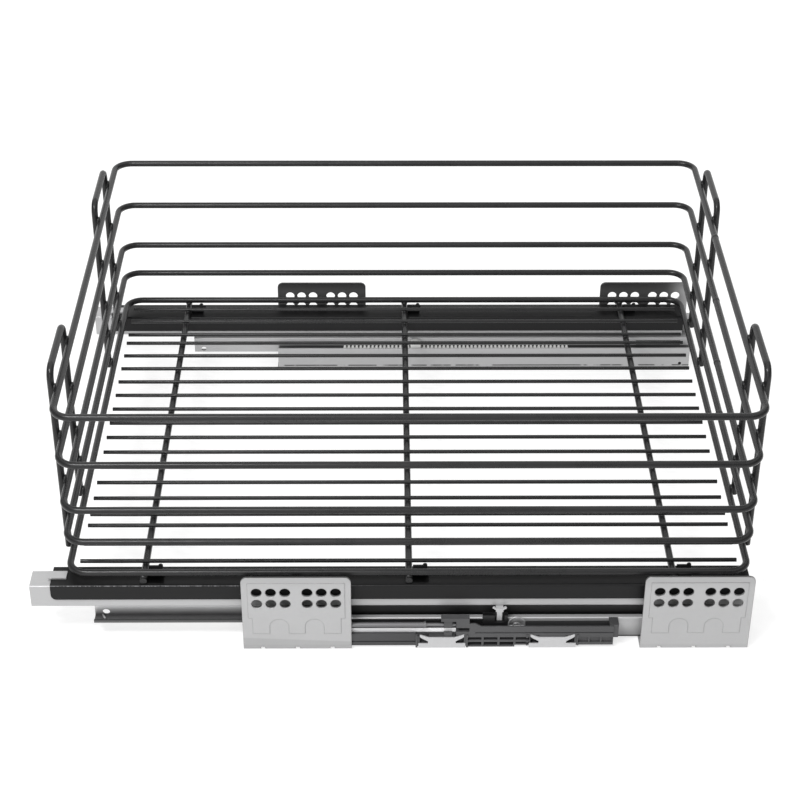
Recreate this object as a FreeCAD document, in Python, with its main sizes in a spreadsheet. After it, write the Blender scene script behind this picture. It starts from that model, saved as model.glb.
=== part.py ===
import FreeCAD, Part
import Sketcher
import math
import os
import re

# Pull-out cargo basket: a wire basket on two side-mounted, soft-closing slides.
# X runs along the slides, and the basket is pulled out towards -X.
# Y runs across the cabinet, from the near slide (-Y) to the far slide (+Y).
# Z is up from the feet of the brackets, and the origin is under the middle of the whole object.

doc = FreeCAD.newDocument("cargo_basket")

# Driving dimensions, in millimetres

SIZES = [
    # Basket
    ("basket_length", 480, "rings along the slides, between wire centres"),
    ("ring_inset", 5.6, "rings' wire centre in from the covers' outer sides"),
    ("ring_wire", 5, "diameter of the ring wire"),
    ("ring_corner", 13, "corner radius of the rings at the wire centre"),
    ("lower_ring_rise", 27.1, "lower ring above the bottom ring"),
    ("middle_ring_rise", 54.4, "middle ring above the bottom ring"),
    ("upper_ring_rise", 92.4, "upper ring above the bottom ring"),
    ("top_ring_rise", 131.4, "top ring above the bottom ring"),
    ("loop_wire", 5, "diameter of the end loops' wire"),
    ("loop_rise", 144.5, "end loop's top bar above the bottom ring"),
    ("loop_inset", 38, "end loop's outer leg from the rings' side"),
    ("loop_width", 62, "width of an end loop between wire centres"),
    ("loop_bend", 8, "bend radius of an end loop at the wire centre"),
    ("loop_drop", 4.5, "end loop's legs below the bottom ring's centre"),
    ("cross_wire", 5, "diameter of the cross wires"),
    ("cross_spread", 187.3, "outer cross wires from the middle of the basket"),
    ("cross_overhang", 3.5, "cross wires past the bottom ring's centre"),
    ("floor_wire", 3, "diameter of the floor wires"),
    ("floor_length", 467, "length of a floor wire"),
    ("floor_pitch", 20, "pitch of the floor wires"),
    ("floor_first_inset", 56.5, "first side wire of the floor from the rings' side"),
    ("floor_second_inset", 34.5, "second side wire of the floor from the rings' side"),
    ("floor_third_inset", 14.5, "third side wire of the floor from the rings' side"),
    # Place of the slides
    ("cabinet_width", 414, "clear width between the cabinet's sides"),
    ("slide_front", 268, "front of the drawer rails from the middle of the basket"),
    ("slide_back", 249, "back of the far slide from the middle of the basket"),
    ("near_setback", 7, "near slide's cabinet rail ahead of the far one"),
    ("near_middle_lead", 42, "near middle rail ahead of the far one"),
    ("rail_gap", 11.8, "cabinet side to cabinet rail"),
    # Rollers
    ("roller", 2.8, "diameter of the rollers"),
    ("roller_play", 0.2, "clearance at each side of a roller"),
    ("side_play", 0.4, "clearance beside the middle rail's ledge"),
    ("cage_sheet", 1.6, "thickness of the roller cages"),
    ("window_play", 0.1, "clearance of a roller in its window"),
    # Cabinet rail
    ("rail_sheet", 1.2, "sheet of the cabinet and drawer rails"),
    ("cabinet_rail_length", 359, "length of the cabinet rail"),
    ("cabinet_rail_width", 28, "width of the cabinet rail"),
    ("cabinet_rail_height", 19.7, "height of the cabinet rail's inner wall"),
    ("cabinet_outer_height", 18, "height of the cabinet rail's outer wall"),
    ("track_height", 9, "roller track above the cabinet rail's foot"),
    ("cabinet_lip", 3.6, "inward lip at the top of the cabinet rail"),
    ("base_flange", 8, "flanges that stand on the brackets"),
    # Middle rail
    ("middle_sheet", 1.4, "sheet of the middle rail"),
    ("middle_length", 432, "length of the middle rail"),
    ("middle_width", 19.6, "width of the middle rail at its foot"),
    ("middle_ledge", 8.1, "ledge outside the middle rail's web"),
    ("middle_lip", 3, "upturned lip of the ledge"),
    ("middle_head_rise", 20.7, "middle rail's head above its foot"),
    ("head_overhang", 4.5, "head past the web"),
    ("rail_clearance", 2, "drawer rail above the middle rail's box"),
    ("rail_bend", 1, "bend radius of the rails"),
    ("rail_hole", 4, "diameter of the hole near a rail's end, in its inner wall"),
    ("rail_hole_inset", 8, "that hole from the rail's end"),
    ("back_hole", 3, "diameter of the hole near the cabinet rail's back"),
    ("web_hole_length", 5.4, "length of the hole in the middle rail's web"),
    ("web_hole_height", 4.8, "height of that hole"),
    ("web_hole_rise", 4, "middle of that hole above the middle rail's foot"),
    ("foot_opening_length", 7, "length of the opening in the foot under the web's hole"),
    ("foot_opening_width", 6.6, "width of that opening"),
    # Drawer rail
    ("drawer_rail_length", 510, "length of the drawer rail"),
    ("drawer_rail_width", 18, "width of the drawer rail"),
    ("drawer_rail_height", 18.3, "height of the drawer rail"),
    ("drawer_lip", 5.6, "lips that hold the drawer rail on the middle rail"),
    ("hook_setback", 12.5, "front hook from the drawer rail's front"),
    ("hook_length", 13, "length of the front hook"),
    ("hook_width", 8, "width of the front hook"),
    ("hook_inset", 6.4, "front hook from the drawer rail's outer face"),
    # Black cover on the drawer rail
    ("cover_sheet", 1.2, "sheet of the cover"),
    ("cover_length", 495, "length of the cover"),
    ("cover_setback", 14.8, "cover behind the drawer rail's front"),
    ("cover_width", 22.8, "width of the cover"),
    ("cover_outer_drop", 12.4, "depth of the cover's outer side"),
    ("cover_inner_drop", 13.6, "depth of the cover's inner side"),
    ("cover_bend", 1.5, "bend radius of the cover"),
    ("cover_corner", 4, "corner radius at the cover's front end"),
    ("tab_width", 10.2, "width of a lanced tab"),
    ("tab_rise", 8.8, "height of a lanced tab"),
    ("tab_side_gap", 0.4, "tab beside its cross wire"),
    ("tab_ring_gap", 5, "tab inside the bottom ring's wire"),
    ("slot_length", 14.1, "length of a tab's slot"),
    ("slot_depth", 9.9, "width of a tab's slot"),
    ("tab_nub", 1.6, "radius of the nub on a tab"),
    ("tab_nub_rise", 1.5, "nub above the tab's edge"),
    # Brackets
    ("bracket_sheet", 1.5, "sheet of the brackets"),
    ("bracket_raise", 0.4, "embossed panel above the bracket's face"),
    ("bracket_width", 77, "width of a bracket"),
    ("bracket_height", 65, "height of a bracket"),
    ("bracket_lead", 0.8, "front brackets ahead of the cabinet rail"),
    ("bracket_foot", 39, "depth of a bracket's foot"),
    ("bracket_corner", 4.5, "corner radius of a bracket"),
    ("bracket_bend", 2, "bend radius of a bracket"),
    ("hole", 7.6, "diameter of the bracket holes"),
    ("hole_pitch", 10, "pitch of the bracket holes"),
    ("hole_first", 7.75, "first bracket hole from the middle"),
    ("hole_drop", 13, "upper row of holes below the bracket's top"),
    ("hole_row_pitch", 10, "lower row below the upper row"),
    ("panel_side", 4.4, "panel from the bracket's sides"),
    ("panel_top", 4.9, "panel from the bracket's top"),
    ("panel_shoulder", 36, "panel's shoulder below the bracket's top"),
    ("panel_neck", 7.2, "lower panel from the bracket's sides"),
    ("panel_foot", 15, "panel's lower edge above the foot"),
    ("arch_width", 13.5, "width of the panel's arches"),
    ("arch_spread", 12.5, "arches from the middle of the bracket"),
    ("arch_top", 28.2, "top of the arches above the foot"),
    ("notch", 3, "width of the notches in the bracket's bend"),
    ("notch_height", 2.6, "height of those notches above the foot"),
    ("notch_spread", 24.8, "pitch of those notches"),
    ("rivet", 4, "diameter of the rivets"),
    ("rivet_play", 0.05, "clearance round a rivet"),
    ("rivet_head", 6, "diameter of a rivet's head"),
    ("rivet_head_height", 1.2, "height of a rivet's head"),
    ("rivet_head_gap", 0.4, "rivet's head to the cabinet rail's wall"),
    ("rivet_spread", 25, "rivets from the middle of the bracket"),
    # Toothed rack beside the middle rail
    ("rack_start", 56.4, "rack from the far cabinet rail's front"),
    ("rack_pitch", 3.456, "pitch of the rack's teeth"),
    ("rack_teeth", 57, "number of teeth"),
    ("rack_land", 1.5, "width of a tooth's top"),
    ("rack_base_height", 7.5, "rack's body above the track"),
    ("tooth_height", 2.8, "height of the rack's teeth"),
    ("rack_play", 0.4, "rack to the middle rail"),
    ("boss_place", 119.8, "rack's boss from the far cabinet rail's front"),
    ("boss", 9, "diameter of the rack's boss"),
    ("boss_rise", 12.5, "centre of the boss above the track"),
    # Roller cages
    ("lower_cage_start", 3, "lower cage from the middle of the basket"),
    ("lower_cage_length", 90, "length of the lower cage"),
    ("lower_cage_width", 18, "width of the lower cage"),
    ("lower_roller_length", 13, "length of the lower rollers"),
    ("lower_roller_pitch", 8, "pitch of the lower rollers"),
    ("upper_cage_start", -65, "upper cage from the middle of the basket"),
    ("upper_cage_length", 190, "length of the upper cage"),
    ("upper_roller_length", 5, "length of the upper rollers"),
    ("upper_roller_pitch", 12, "pitch of the upper rollers"),
    # Soft-close unit on the cabinet rail's outer side
    ("unit_depth", 9.6, "depth of the soft-close housing"),
    ("unit_foot", 0.8, "housing above the bracket's foot"),
    ("tray_start", 57, "damper tray from the cabinet rail's front"),
    ("tray_foot", 1.8, "damper tray above the bracket's foot"),
    ("tray_recess_height", 1.6, "height of the recess along the tray's lower edge"),
    ("housing_start", 121.8, "housing from the cabinet rail's front"),
    ("beam_start", 150.6, "upper beam from the cabinet rail's front"),
    ("housing_end", 262.8, "housing's end from the cabinet rail's front"),
    ("floor_height", 12.6, "channel's floor above the foot"),
    ("beam_height", 6.5, "height of the upper beam above the channel's floor"),
    ("channel_width", 5, "cabinet rail to the damper's side of the channel"),
    ("beam_wall", 1.2, "outer wall of the housing's channel"),
    ("slope_rise", 2.6, "wall's rise towards the anchor"),
    ("slope_start", 4.4, "slope from the anchor"),
    ("slope_length", 4.4, "length of that slope"),
    ("face_groove_rise", 0.4, "groove along the housing's face above the channel's floor"),
    ("face_groove_height", 1.1, "height of that groove"),
    ("groove_depth", 0.6, "depth of the grooves and recesses along the unit"),
    ("pit_height", 10.2, "housing's front wall above the foot where it is cut down for the strip"),
    ("pit_depth", 2.4, "depth of that cut"),
    ("cell_start", 159, "first lattice cell from the cabinet rail's front"),
    ("cell_width", 9.8, "width of a lattice cell"),
    ("cell_rib", 1.6, "rib between cells"),
    ("cell_depth", 6, "depth of a lattice cell"),
    ("cell_top", 9.4, "top of the lattice above the foot"),
    ("upper_cell_height", 2.6, "height of an upper cell"),
    ("cell_row_rib", 1.7, "rib between the rows of cells"),
    ("cell_floor", 1, "floor under the lower cells"),
    ("step_height", 1.6, "housing's raised underside past the lattice"),
    ("clip_rib", 1.4, "width of the ribs beside the clips"),
    ("clip_rib_reach", 0.8, "reach of those ribs from the housing's face"),
    ("clip_rib_top", 11.8, "top of those ribs above the foot"),
    ("clip_rib_gap", 0.6, "clip to its ribs"),
    ("clip_pocket_low", 3.6, "pockets behind the clips' horns, above the foot"),
    ("clip_pocket_high", 11, "top of those pockets above the foot"),
    ("clip_pocket_depth", 4, "depth of those pockets"),
    ("groove_low", 5.2, "groove along the tray above the foot"),
    ("groove_height", 1.3, "height of that groove"),
    ("window_low", 14.4, "window under the anchor above the foot"),
    ("window_height", 3.6, "height of that window"),
    ("rib_cell_start", 237.6, "first rear cell from the cabinet rail's front"),
    ("rib_cell_width", 7.3, "width of a rear cell"),
    ("rib_cell_rib", 1.2, "rib between rear cells"),
    ("rib_cell_low", 4.8, "rear cells above the foot"),
    ("rib_cell_depth", 1.2, "depth of a rear cell"),
    ("end_cap_length", 6.4, "length of the housing's end cap"),
    ("end_cap_overlap", 2.9, "end cap's part inside the housing"),
    ("end_cap_rise", 19.8, "end cap's top above the foot"),
    ("end_cap_foot", 8.4, "end cap's lower edge above the foot"),
    ("end_cap_inset", 1, "end cap in from the housing's face"),
    ("anchor_start", 139.8, "damper anchor from the cabinet rail's front"),
    ("anchor_length", 20.2, "length of the damper anchor"),
    ("anchor_rise", 26.4, "anchor's top above the foot"),
    ("anchor_foot", 23.6, "anchor's lower edge over the rod, above the foot"),
    ("saddle_start", 141.9, "saddle from the cabinet rail's front"),
    ("saddle_length", 6, "length of the saddle"),
    ("saddle_wall", 0.5, "saddle's wall outside the rod"),
    ("saddle_pad_height", 0.7, "pad in front of the guide strip, above the channel's floor"),
    ("damper_height", 19, "damper's axis above the foot"),
    ("damper", 3.8, "diameter of the damper's cylinder"),
    ("damper_length", 64.2, "length of the damper's cylinder"),
    ("damper_front", 65, "damper's front from the cabinet rail's front"),
    ("damper_collar", 4.8, "diameter of the collar at the cylinder's end"),
    ("damper_collar_length", 1.7, "length of that collar"),
    ("damper_rod", 2.6, "diameter of the damper's rod"),
    ("damper_rod_length", 81, "length of the damper's rod"),
    ("damper_rod_rear", 0.4, "rod's end ahead of the beam"),
    ("guide_sheet", 0.5, "thickness of the guide strip"),
    ("guide_height", 3.4, "height of the guide strip"),
    ("guide_inset", 2.6, "guide strip in from the unit's face"),
    ("guide_start", 67, "guide strip from the cabinet rail's front"),
    ("guide_end", 150.4, "guide strip's end from the cabinet rail's front"),
    ("first_clip", 140.5, "first clip from the cabinet rail's front"),
    ("second_clip", 219.4, "second clip from the cabinet rail's front"),
    ("clip_sheet", 0.8, "sheet of the clips"),
    ("clip_width", 33.5, "width of a clip"),
    ("clip_waist", 19.8, "width of a clip's waist"),
    ("clip_shoulder_width", 18, "width of a clip's flat top"),
    ("clip_base", 3.7, "height of a clip's base strip"),
    ("clip_notch", 2, "height of a clip's side notch"),
    ("clip_shoulder", 9.1, "height of a clip's flat top"),
    ("clip_horn_low", 9.8, "height of a horn's lower corner"),
    ("clip_height", 11.6, "height of a clip's horns"),
    ("clip_tip", 1, "horn's tip in from the clip's side"),
    ("clip_tip_slant", 1.2, "slant under a horn's tip"),
    ("clip_reach", 15, "clip's reach under the cabinet rail"),
    # Catch, which the drawer rail's activator takes along
    ("activator_place", 181.5, "activator from the cabinet rail's front"),
    ("activator_sheet", 1.2, "sheet of the activator"),
    ("activator_width", 10.4, "width over the activator's ears"),
    ("activator_body", 5.4, "width of the activator's tongue"),
    ("activator_stem", 3.8, "width of the activator's stem"),
    ("activator_neck", 3, "activator's neck below the drawer rail's foot"),
    ("activator_ear", 1.8, "activator's ears above the drawer rail's foot"),
    ("activator_foot", 19.5, "activator's lower end above the foot"),
    ("catch_lead", 11.9, "catch's front ahead of the activator"),
    ("catch_length", 17.9, "length of the catch"),
    ("catch_top", 25, "catch's top above the foot"),
    ("catch_wall", 1, "walls beside the catch's groove"),
    ("catch_groove_floor", 19, "groove's floor above the foot"),
    ("catch_play", 0.4, "clearance of the catch and the activator"),
    ("catch_window", 7, "opening in the catch's outer wall"),
    ("catch_hook", 5.7, "radius of the catch's hook"),
    ("catch_hook_wire", 1.2, "diameter of the catch's hook"),
    ("catch_hook_leg", 2.2, "straight legs of the hook"),
    ("catch_hook_bar", 1.1, "diameter of the hook's cross bar"),
    ("catch_hook_rise", 4.5, "bottom of the hook's arch above the channel's floor"),
    ("catch_loop", 2.6, "radius of the hook's inner loop"),
    ("catch_loop_wire", 0.9, "diameter of that loop's wire"),
    ("link_sheet", 1, "thickness of the catch's link"),
    ("link_top", 18.8, "link's top above the foot"),
    ("link_lug", 2, "thickness of the link's lug"),
    ("spring_wire", 0.5, "wire of the closing spring"),
    ("spring_outside", 3.2, "outer diameter of the closing spring"),
    ("spring_turns", 28, "turns of the closing spring"),
    ("spring_rise", 2.1, "spring's axis above the channel's floor"),
    ("spring_play", 0.2, "clearance round the closing spring"),
    ("spring_cover_height", 4.2, "height of the spring's cover"),
]

sheet = doc.addObject("Spreadsheet::Sheet", "Sizes")
for row, (alias, size, meaning) in enumerate(SIZES, start=1):
    sheet.set(f"A{row}", meaning)
    sheet.set(f"B{row}", str(size))
    sheet.setAlias(f"B{row}", alias)
doc.recompute()

NAMES = {alias for alias, size, meaning in SIZES}
probe = doc.addObject("App::FeaturePython", "probe")
PIECES = []


def bound(formula):
    """The formula with every size read from the sheet."""
    return re.sub(r"[a-z_]+", lambda word: f"Sizes.{word[0]}" if word[0] in NAMES else word[0], str(formula))


def number(formula):
    """The formula's value."""
    return float(probe.evalExpression(bound(formula)))


# Heights that follow from the sizes

RAIL_FOOT = "bracket_sheet"
TRACK = f"({RAIL_FOOT} + track_height)"
ROLLER_GAP = "(roller + 2*roller_play)"
MIDDLE_FOOT = f"({TRACK} + {ROLLER_GAP})"
HEAD_FOOT = f"({MIDDLE_FOOT} + middle_head_rise)"
DRAWER_FOOT = f"({HEAD_FOOT} - {ROLLER_GAP} - rail_sheet)"
DRAWER_TOP = f"({DRAWER_FOOT} + drawer_rail_height)"
HEAD_TOP = f"({DRAWER_TOP} - rail_sheet - {ROLLER_GAP})"
BOX_TOP = f"({DRAWER_FOOT} - rail_clearance)"
RAIL_TOP = f"({RAIL_FOOT} + cabinet_rail_height)"
OUTER_TOP = f"({RAIL_FOOT} + cabinet_outer_height)"
SEAT = f"({DRAWER_TOP} + cover_sheet)"
BASKET_FOOT = f"({SEAT} + cross_wire + ring_wire/2)"
BEAM_TOP = "(floor_height + beam_height)"

# Distances from the middle plane between the slides

CABINET_SIDE = "(cabinet_width/2)"
BRACKET_FACE = f"({CABINET_SIDE} - bracket_raise)"
CABINET_OUT = f"({CABINET_SIDE} - rail_gap)"
CABINET_IN = f"({CABINET_OUT} - cabinet_rail_width)"
MIDDLE_OUT = f"({CABINET_OUT} - rail_sheet - side_play)"
MIDDLE_IN = f"({MIDDLE_OUT} - middle_width)"
WEB_OUT = f"({MIDDLE_OUT} - middle_ledge)"
HEAD_OUT = f"({WEB_OUT} + head_overhang)"
DRAWER_OUT = f"({HEAD_OUT} + {ROLLER_GAP} + rail_sheet)"
DRAWER_IN = f"({DRAWER_OUT} - drawer_rail_width)"
HEAD_IN = f"({DRAWER_IN} + rail_sheet + {ROLLER_GAP})"
COVER_OUT = f"({DRAWER_OUT} + cover_sheet)"
COVER_IN = f"({COVER_OUT} - cover_width)"
UNIT_OUT = f"({CABINET_OUT} + unit_depth)"
SADDLE_HALF = "(damper_rod/2 + saddle_wall)"
CHANNEL_OUT = f"({CABINET_OUT} + channel_width)"
CATCH_IN = f"({CABINET_OUT} + catch_play)"
CATCH_OUT = f"({CHANNEL_OUT} - catch_play)"
DAMPER_AXIS = f"({CATCH_OUT} + catch_play + damper/2)"
STEM_IN = f"({CATCH_IN} + catch_wall + catch_play)"
RING_SIDE = f"({COVER_OUT} - ring_inset)"
RIVET_INSET = "(rail_sheet + rivet_head/2 + rivet_head_gap)"

# Places along the slides

BASKET_X = "((slide_front - slide_back)/2)"
DRAWER_FRONT = f"({BASKET_X} - slide_front)"
COVER_FRONT = f"({DRAWER_FRONT} + cover_setback)"
FAR_BACK = f"({BASKET_X} + slide_back)"
FAR_FRONT = f"({FAR_BACK} - cabinet_rail_length)"
NEAR_FRONT = f"({FAR_FRONT} - near_setback)"


# Helpers for primitives

def place(piece, x, y, z):
    """Bind the piece's place to three formulas."""
    piece.setExpression("Placement.Base.x", bound(x))
    piece.setExpression("Placement.Base.y", bound(y))
    piece.setExpression("Placement.Base.z", bound(z))


def box(name, x, y, z, length, width, height):
    """A block from its lowest corner."""
    piece = doc.addObject("Part::Box", name)
    piece.setExpression("Length", bound(length))
    piece.setExpression("Width", bound(width))
    piece.setExpression("Height", bound(height))
    place(piece, x, y, z)
    return piece


TURN = {
    "x": FreeCAD.Rotation(FreeCAD.Vector(0, 1, 0), 90),
    "y": FreeCAD.Rotation(FreeCAD.Vector(1, 0, 0), -90),
    "z": FreeCAD.Rotation(),
}


def rod(name, axis, x, y, z, diameter, length):
    """A round bar along +axis from its start."""
    piece = doc.addObject("Part::Cylinder", name)
    piece.Placement = FreeCAD.Placement(FreeCAD.Vector(), TURN[axis])
    piece.setExpression("Radius", bound(f"({diameter})/2"))
    piece.setExpression("Height", bound(length))
    place(piece, x, y, z)
    return piece


def fuse(name, parts):
    """One solid from parts that touch."""
    piece = doc.addObject("Part::MultiFuse", name)
    piece.Shapes = parts
    piece.Refine = True
    return piece


def cut(name, base, tools):
    """The base without the tools."""
    tool = tools[0]
    if len(tools) > 1:
        tool = doc.addObject("Part::Compound", name + "_cuts")
        tool.Links = tools
    piece = doc.addObject("Part::Cut", name)
    piece.Base = base
    piece.Tool = tool
    piece.Refine = True
    return piece


def group(name, parts):
    """Separate solids that share a node."""
    piece = doc.addObject("Part::Compound", name)
    piece.Links = parts
    return piece


def keep(piece, label, solids=1):
    """Mark a finished sub-part, and how many solids it is."""
    piece.Label = label
    PIECES.append((piece, label, solids))
    return piece


# Helpers for sketched bodies

def plane_of(body, role):
    """One of the body's origin planes."""
    return [plane for plane in body.Origin.OriginFeatures if plane.Role == role][0]


def sketch_on(body, role, name):
    """A sketch on one of the body's origin planes."""
    sketch = body.newObject("Sketcher::SketchObject", name)
    sketch.AttachmentSupport = [(plane_of(body, role), "")]
    sketch.MapMode = "FlatFace"
    return sketch


def bind(sketch, dimensions):
    """Dimensions of the sketch, each a kind, its points and a formula."""
    made = [Sketcher.Constraint(kind, *points, number(formula)) for kind, points, formula in dimensions]
    first = sketch.ConstraintCount
    sketch.addConstraint(made)
    for index, (kind, points, formula) in enumerate(dimensions, start=first):
        sketch.setExpression(f"Constraints[{index}]", bound(formula))


def draw_loop(sketch, points):
    """A closed outline through corners that are each given by two formulas."""
    corners = [FreeCAD.Vector(number(u), number(v), 0) for u, v in points]
    count = len(corners)
    first = sketch.GeometryCount
    lines = [Part.LineSegment(corners[index], corners[(index + 1) % count]) for index in range(count)]
    sketch.addGeometry(lines, False)
    sketch.addConstraint([
        Sketcher.Constraint("Coincident", first + index, 2, first + (index + 1) % count, 1) for index in range(count)
    ])
    bind(sketch, [("DistanceX", (-1, 1, first + index, 1), u) for index, (u, v) in enumerate(points)])
    bind(sketch, [("DistanceY", (-1, 1, first + index, 1), v) for index, (u, v) in enumerate(points)])


def rounded(body, feature, radius, along, corners):
    """Round the feature's edges that run along an axis through the given corners."""
    chosen = []
    for index, edge in enumerate(feature.Shape.Edges, start=1):
        direction = edge.tangentAt(edge.FirstParameter)
        start = edge.Vertexes[0].Point
        spot = {"x": (start.y, start.z), "y": (start.x, start.z)}[along]
        straight = abs(getattr(direction, along)) > 0.999
        if straight and any(math.dist(spot, corner) < 0.01 for corner in corners):
            chosen.append(f"Edge{index}")
    fillet = body.newObject("PartDesign::Fillet", body.Name + "_rounding")
    fillet.Base = (feature, chosen)
    fillet.setExpression("Radius", bound(radius))
    return fillet


def section(name, side, outlines, start, length, radius=None, bends=()):
    """A profile drawn across the slide and drawn out along it; outlines hold distances and heights."""
    body = doc.addObject("PartDesign::Body", name)
    sketch = sketch_on(body, "YZ_Plane", name + "_section")
    for outline in outlines:
        draw_loop(sketch, [(f"{side}*({distance})", height) for distance, height in outline])
    pad = body.newObject("PartDesign::Pad", name + "_run")
    pad.Profile = sketch
    pad.setExpression("Length", bound(length))
    doc.recompute()
    if radius:
        corners = [(side * number(distance), number(height)) for distance, height in bends]
        rounded(body, pad, radius, "x", corners)
    body.setExpression("Placement.Base.x", bound(start))
    return body


def rectangle(inner, outer, low, high):
    """Corners of a rectangle across the slide."""
    return [(inner, low), (outer, low), (outer, high), (inner, high)]


# Basket

def ring(label, rise):
    """A closed ring of wire with rounded corners."""
    body = doc.addObject("PartDesign::Body", label)
    path = sketch_on(body, "XY_Plane", label + "_path")
    reach_x = "(basket_length/2 - ring_corner)"
    reach_y = f"({RING_SIDE} - ring_corner)"
    centres = [(reach_x, reach_y), (f"-{reach_x}", reach_y), (f"-{reach_x}", f"-{reach_y}"), (reach_x, f"-{reach_y}")]
    radius = number("ring_corner")
    for quarter, (x, y) in enumerate(centres):
        circle = Part.Circle(FreeCAD.Vector(number(x), number(y), 0), FreeCAD.Vector(0, 0, 1), radius)
        turn = quarter * math.pi / 2
        path.addGeometry(Part.ArcOfCircle(circle, turn, turn + math.pi / 2), False)
    for quarter in range(4):
        start = path.Geometry[quarter].EndPoint
        end = path.Geometry[(quarter + 1) % 4].StartPoint
        path.addGeometry(Part.LineSegment(start, end), False)
    joins = []
    for quarter in range(4):
        joins.append(Sketcher.Constraint("Tangent", quarter, 2, 4 + quarter, 1))
        joins.append(Sketcher.Constraint("Tangent", 4 + quarter, 2, (quarter + 1) % 4, 1))
    joins += [Sketcher.Constraint("Equal", 0, quarter) for quarter in (1, 2, 3)]
    path.addConstraint(joins + [Sketcher.Constraint("Horizontal", 4), Sketcher.Constraint("Vertical", 5)])
    dimensions = [("Radius", (0,), "ring_corner")]
    for quarter in (0, 2):
        dimensions.append(("DistanceX", (-1, 1, quarter, 3), centres[quarter][0]))
        dimensions.append(("DistanceY", (-1, 1, quarter, 3), centres[quarter][1]))
    bind(path, dimensions)
    profile = sketch_on(body, "YZ_Plane", label + "_wire")
    centre = FreeCAD.Vector(number(RING_SIDE), 0, 0)
    profile.addGeometry(Part.Circle(centre, FreeCAD.Vector(0, 0, 1), number("ring_wire/2")), False)
    profile.addConstraint(Sketcher.Constraint("PointOnObject", 0, 3, -1))
    bind(profile, [("DistanceX", (-1, 1, 0, 3), RING_SIDE), ("Diameter", (0,), "ring_wire")])
    doc.recompute()
    pipe = body.newObject("PartDesign::AdditivePipe", label + "_pipe")
    pipe.Profile = profile
    pipe.Spine = path
    place(body, BASKET_X, "0", f"{BASKET_FOOT} + {rise}")
    return keep(body, label)


for ring_name, ring_rise in (
    ("bottom_ring", "0"),
    ("lower_ring", "lower_ring_rise"),
    ("middle_ring", "middle_ring_rise"),
    ("upper_ring", "upper_ring_rise"),
    ("top_ring", "top_ring_rise"),
):
    ring(ring_name, ring_rise)


def bend(name, x, y, z, radius, wire, start_angle):
    """A quarter of a wire torus that lies in the YZ plane."""
    piece = doc.addObject("Part::Torus", name)
    piece.setExpression("Radius1", bound(radius))
    piece.setExpression("Radius2", bound(f"{wire}/2"))
    piece.Angle3 = 90
    upright = FreeCAD.Rotation(FreeCAD.Vector(0, 1, 0), 90)
    spin = FreeCAD.Rotation(FreeCAD.Vector(1, 0, 0), start_angle)
    piece.Placement = FreeCAD.Placement(FreeCAD.Vector(), spin.multiply(upright))
    place(piece, x, y, z)
    return piece


def end_loop(label, end, side):
    """An upside-down U of wire, welded to the outside of the rings."""
    x = f"{BASKET_X} + {end}*(basket_length/2 + ring_wire/2 + loop_wire/2)"
    foot = f"{BASKET_FOOT} - loop_drop"
    top = f"{BASKET_FOOT} + loop_rise"
    leg = "(loop_rise + loop_drop - loop_bend)"
    outer_leg = f"({RING_SIDE} - loop_inset)"
    inner_leg = f"({outer_leg} - loop_width)"
    low, high = (f"-{outer_leg}", f"-{inner_leg}") if side < 0 else (inner_leg, outer_leg)
    span = "(loop_width - 2*loop_bend)"
    parts = [
        rod(label + "_low_leg", "z", x, low, foot, "loop_wire", leg),
        rod(label + "_high_leg", "z", x, high, foot, "loop_wire", leg),
        rod(label + "_bar", "y", x, f"{low} + loop_bend", top, "loop_wire", span),
        bend(label + "_low_bend", x, f"{low} + loop_bend", f"{top} - loop_bend", "loop_bend", "loop_wire", 180),
        bend(label + "_high_bend", x, f"{high} - loop_bend", f"{top} - loop_bend", "loop_bend", "loop_wire", 90),
    ]
    return keep(fuse(label, parts), label)


for end_name, end in (("front", -1), ("back", 1)):
    for side_name, side in (("near", -1), ("far", 1)):
        end_loop(f"{end_name}_{side_name}_loop", end, side)

CROSS_LENGTH = f"(2*{RING_SIDE} + 2*cross_overhang)"
for cross_name, step in (("front", -1), ("middle", 0), ("back", 1)):
    label = f"{cross_name}_cross_wire"
    x = f"{BASKET_X} + {step}*cross_spread"
    keep(rod(label, "y", x, f"-{CROSS_LENGTH}/2", f"{SEAT} + cross_wire/2", "cross_wire", CROSS_LENGTH), label)

even_half = int(number(f"{RING_SIDE} - floor_first_inset - floor_pitch/2") // number("floor_pitch"))
floor_rows = [f"{step}*floor_pitch" for step in range(-even_half, even_half + 1)]
for inset in ("floor_first_inset", "floor_second_inset", "floor_third_inset"):
    floor_rows += [f"{sign}*({RING_SIDE} - {inset})" for sign in (-1, 1)]
FLOOR_X = f"{BASKET_X} - floor_length/2"
FLOOR_Z = f"{SEAT} + cross_wire + floor_wire/2"
floor_wires = [
    rod(f"floor_wire_{index}", "x", FLOOR_X, row, FLOOR_Z, "floor_wire", "floor_length")
    for index, row in enumerate(floor_rows, start=1)
]
keep(group("floor_wires", floor_wires), "floor_wires", len(floor_wires))


# Slides

def block(name, side, start, end, inner, outer, low, high):
    """A block between two places along the slide, two distances from the middle plane and two heights."""
    y = f"-({outer})" if side < 0 else inner
    return box(name, start, y, low, f"({end}) - ({start})", f"({outer}) - ({inner})", f"({high}) - ({low})")


def pin_across(name, side, x, inner, outer, z, diameter):
    """A round pin across the slide."""
    y = f"-({outer})" if side < 0 else inner
    return rod(name, "y", x, y, z, diameter, f"({outer}) - ({inner})")


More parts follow.
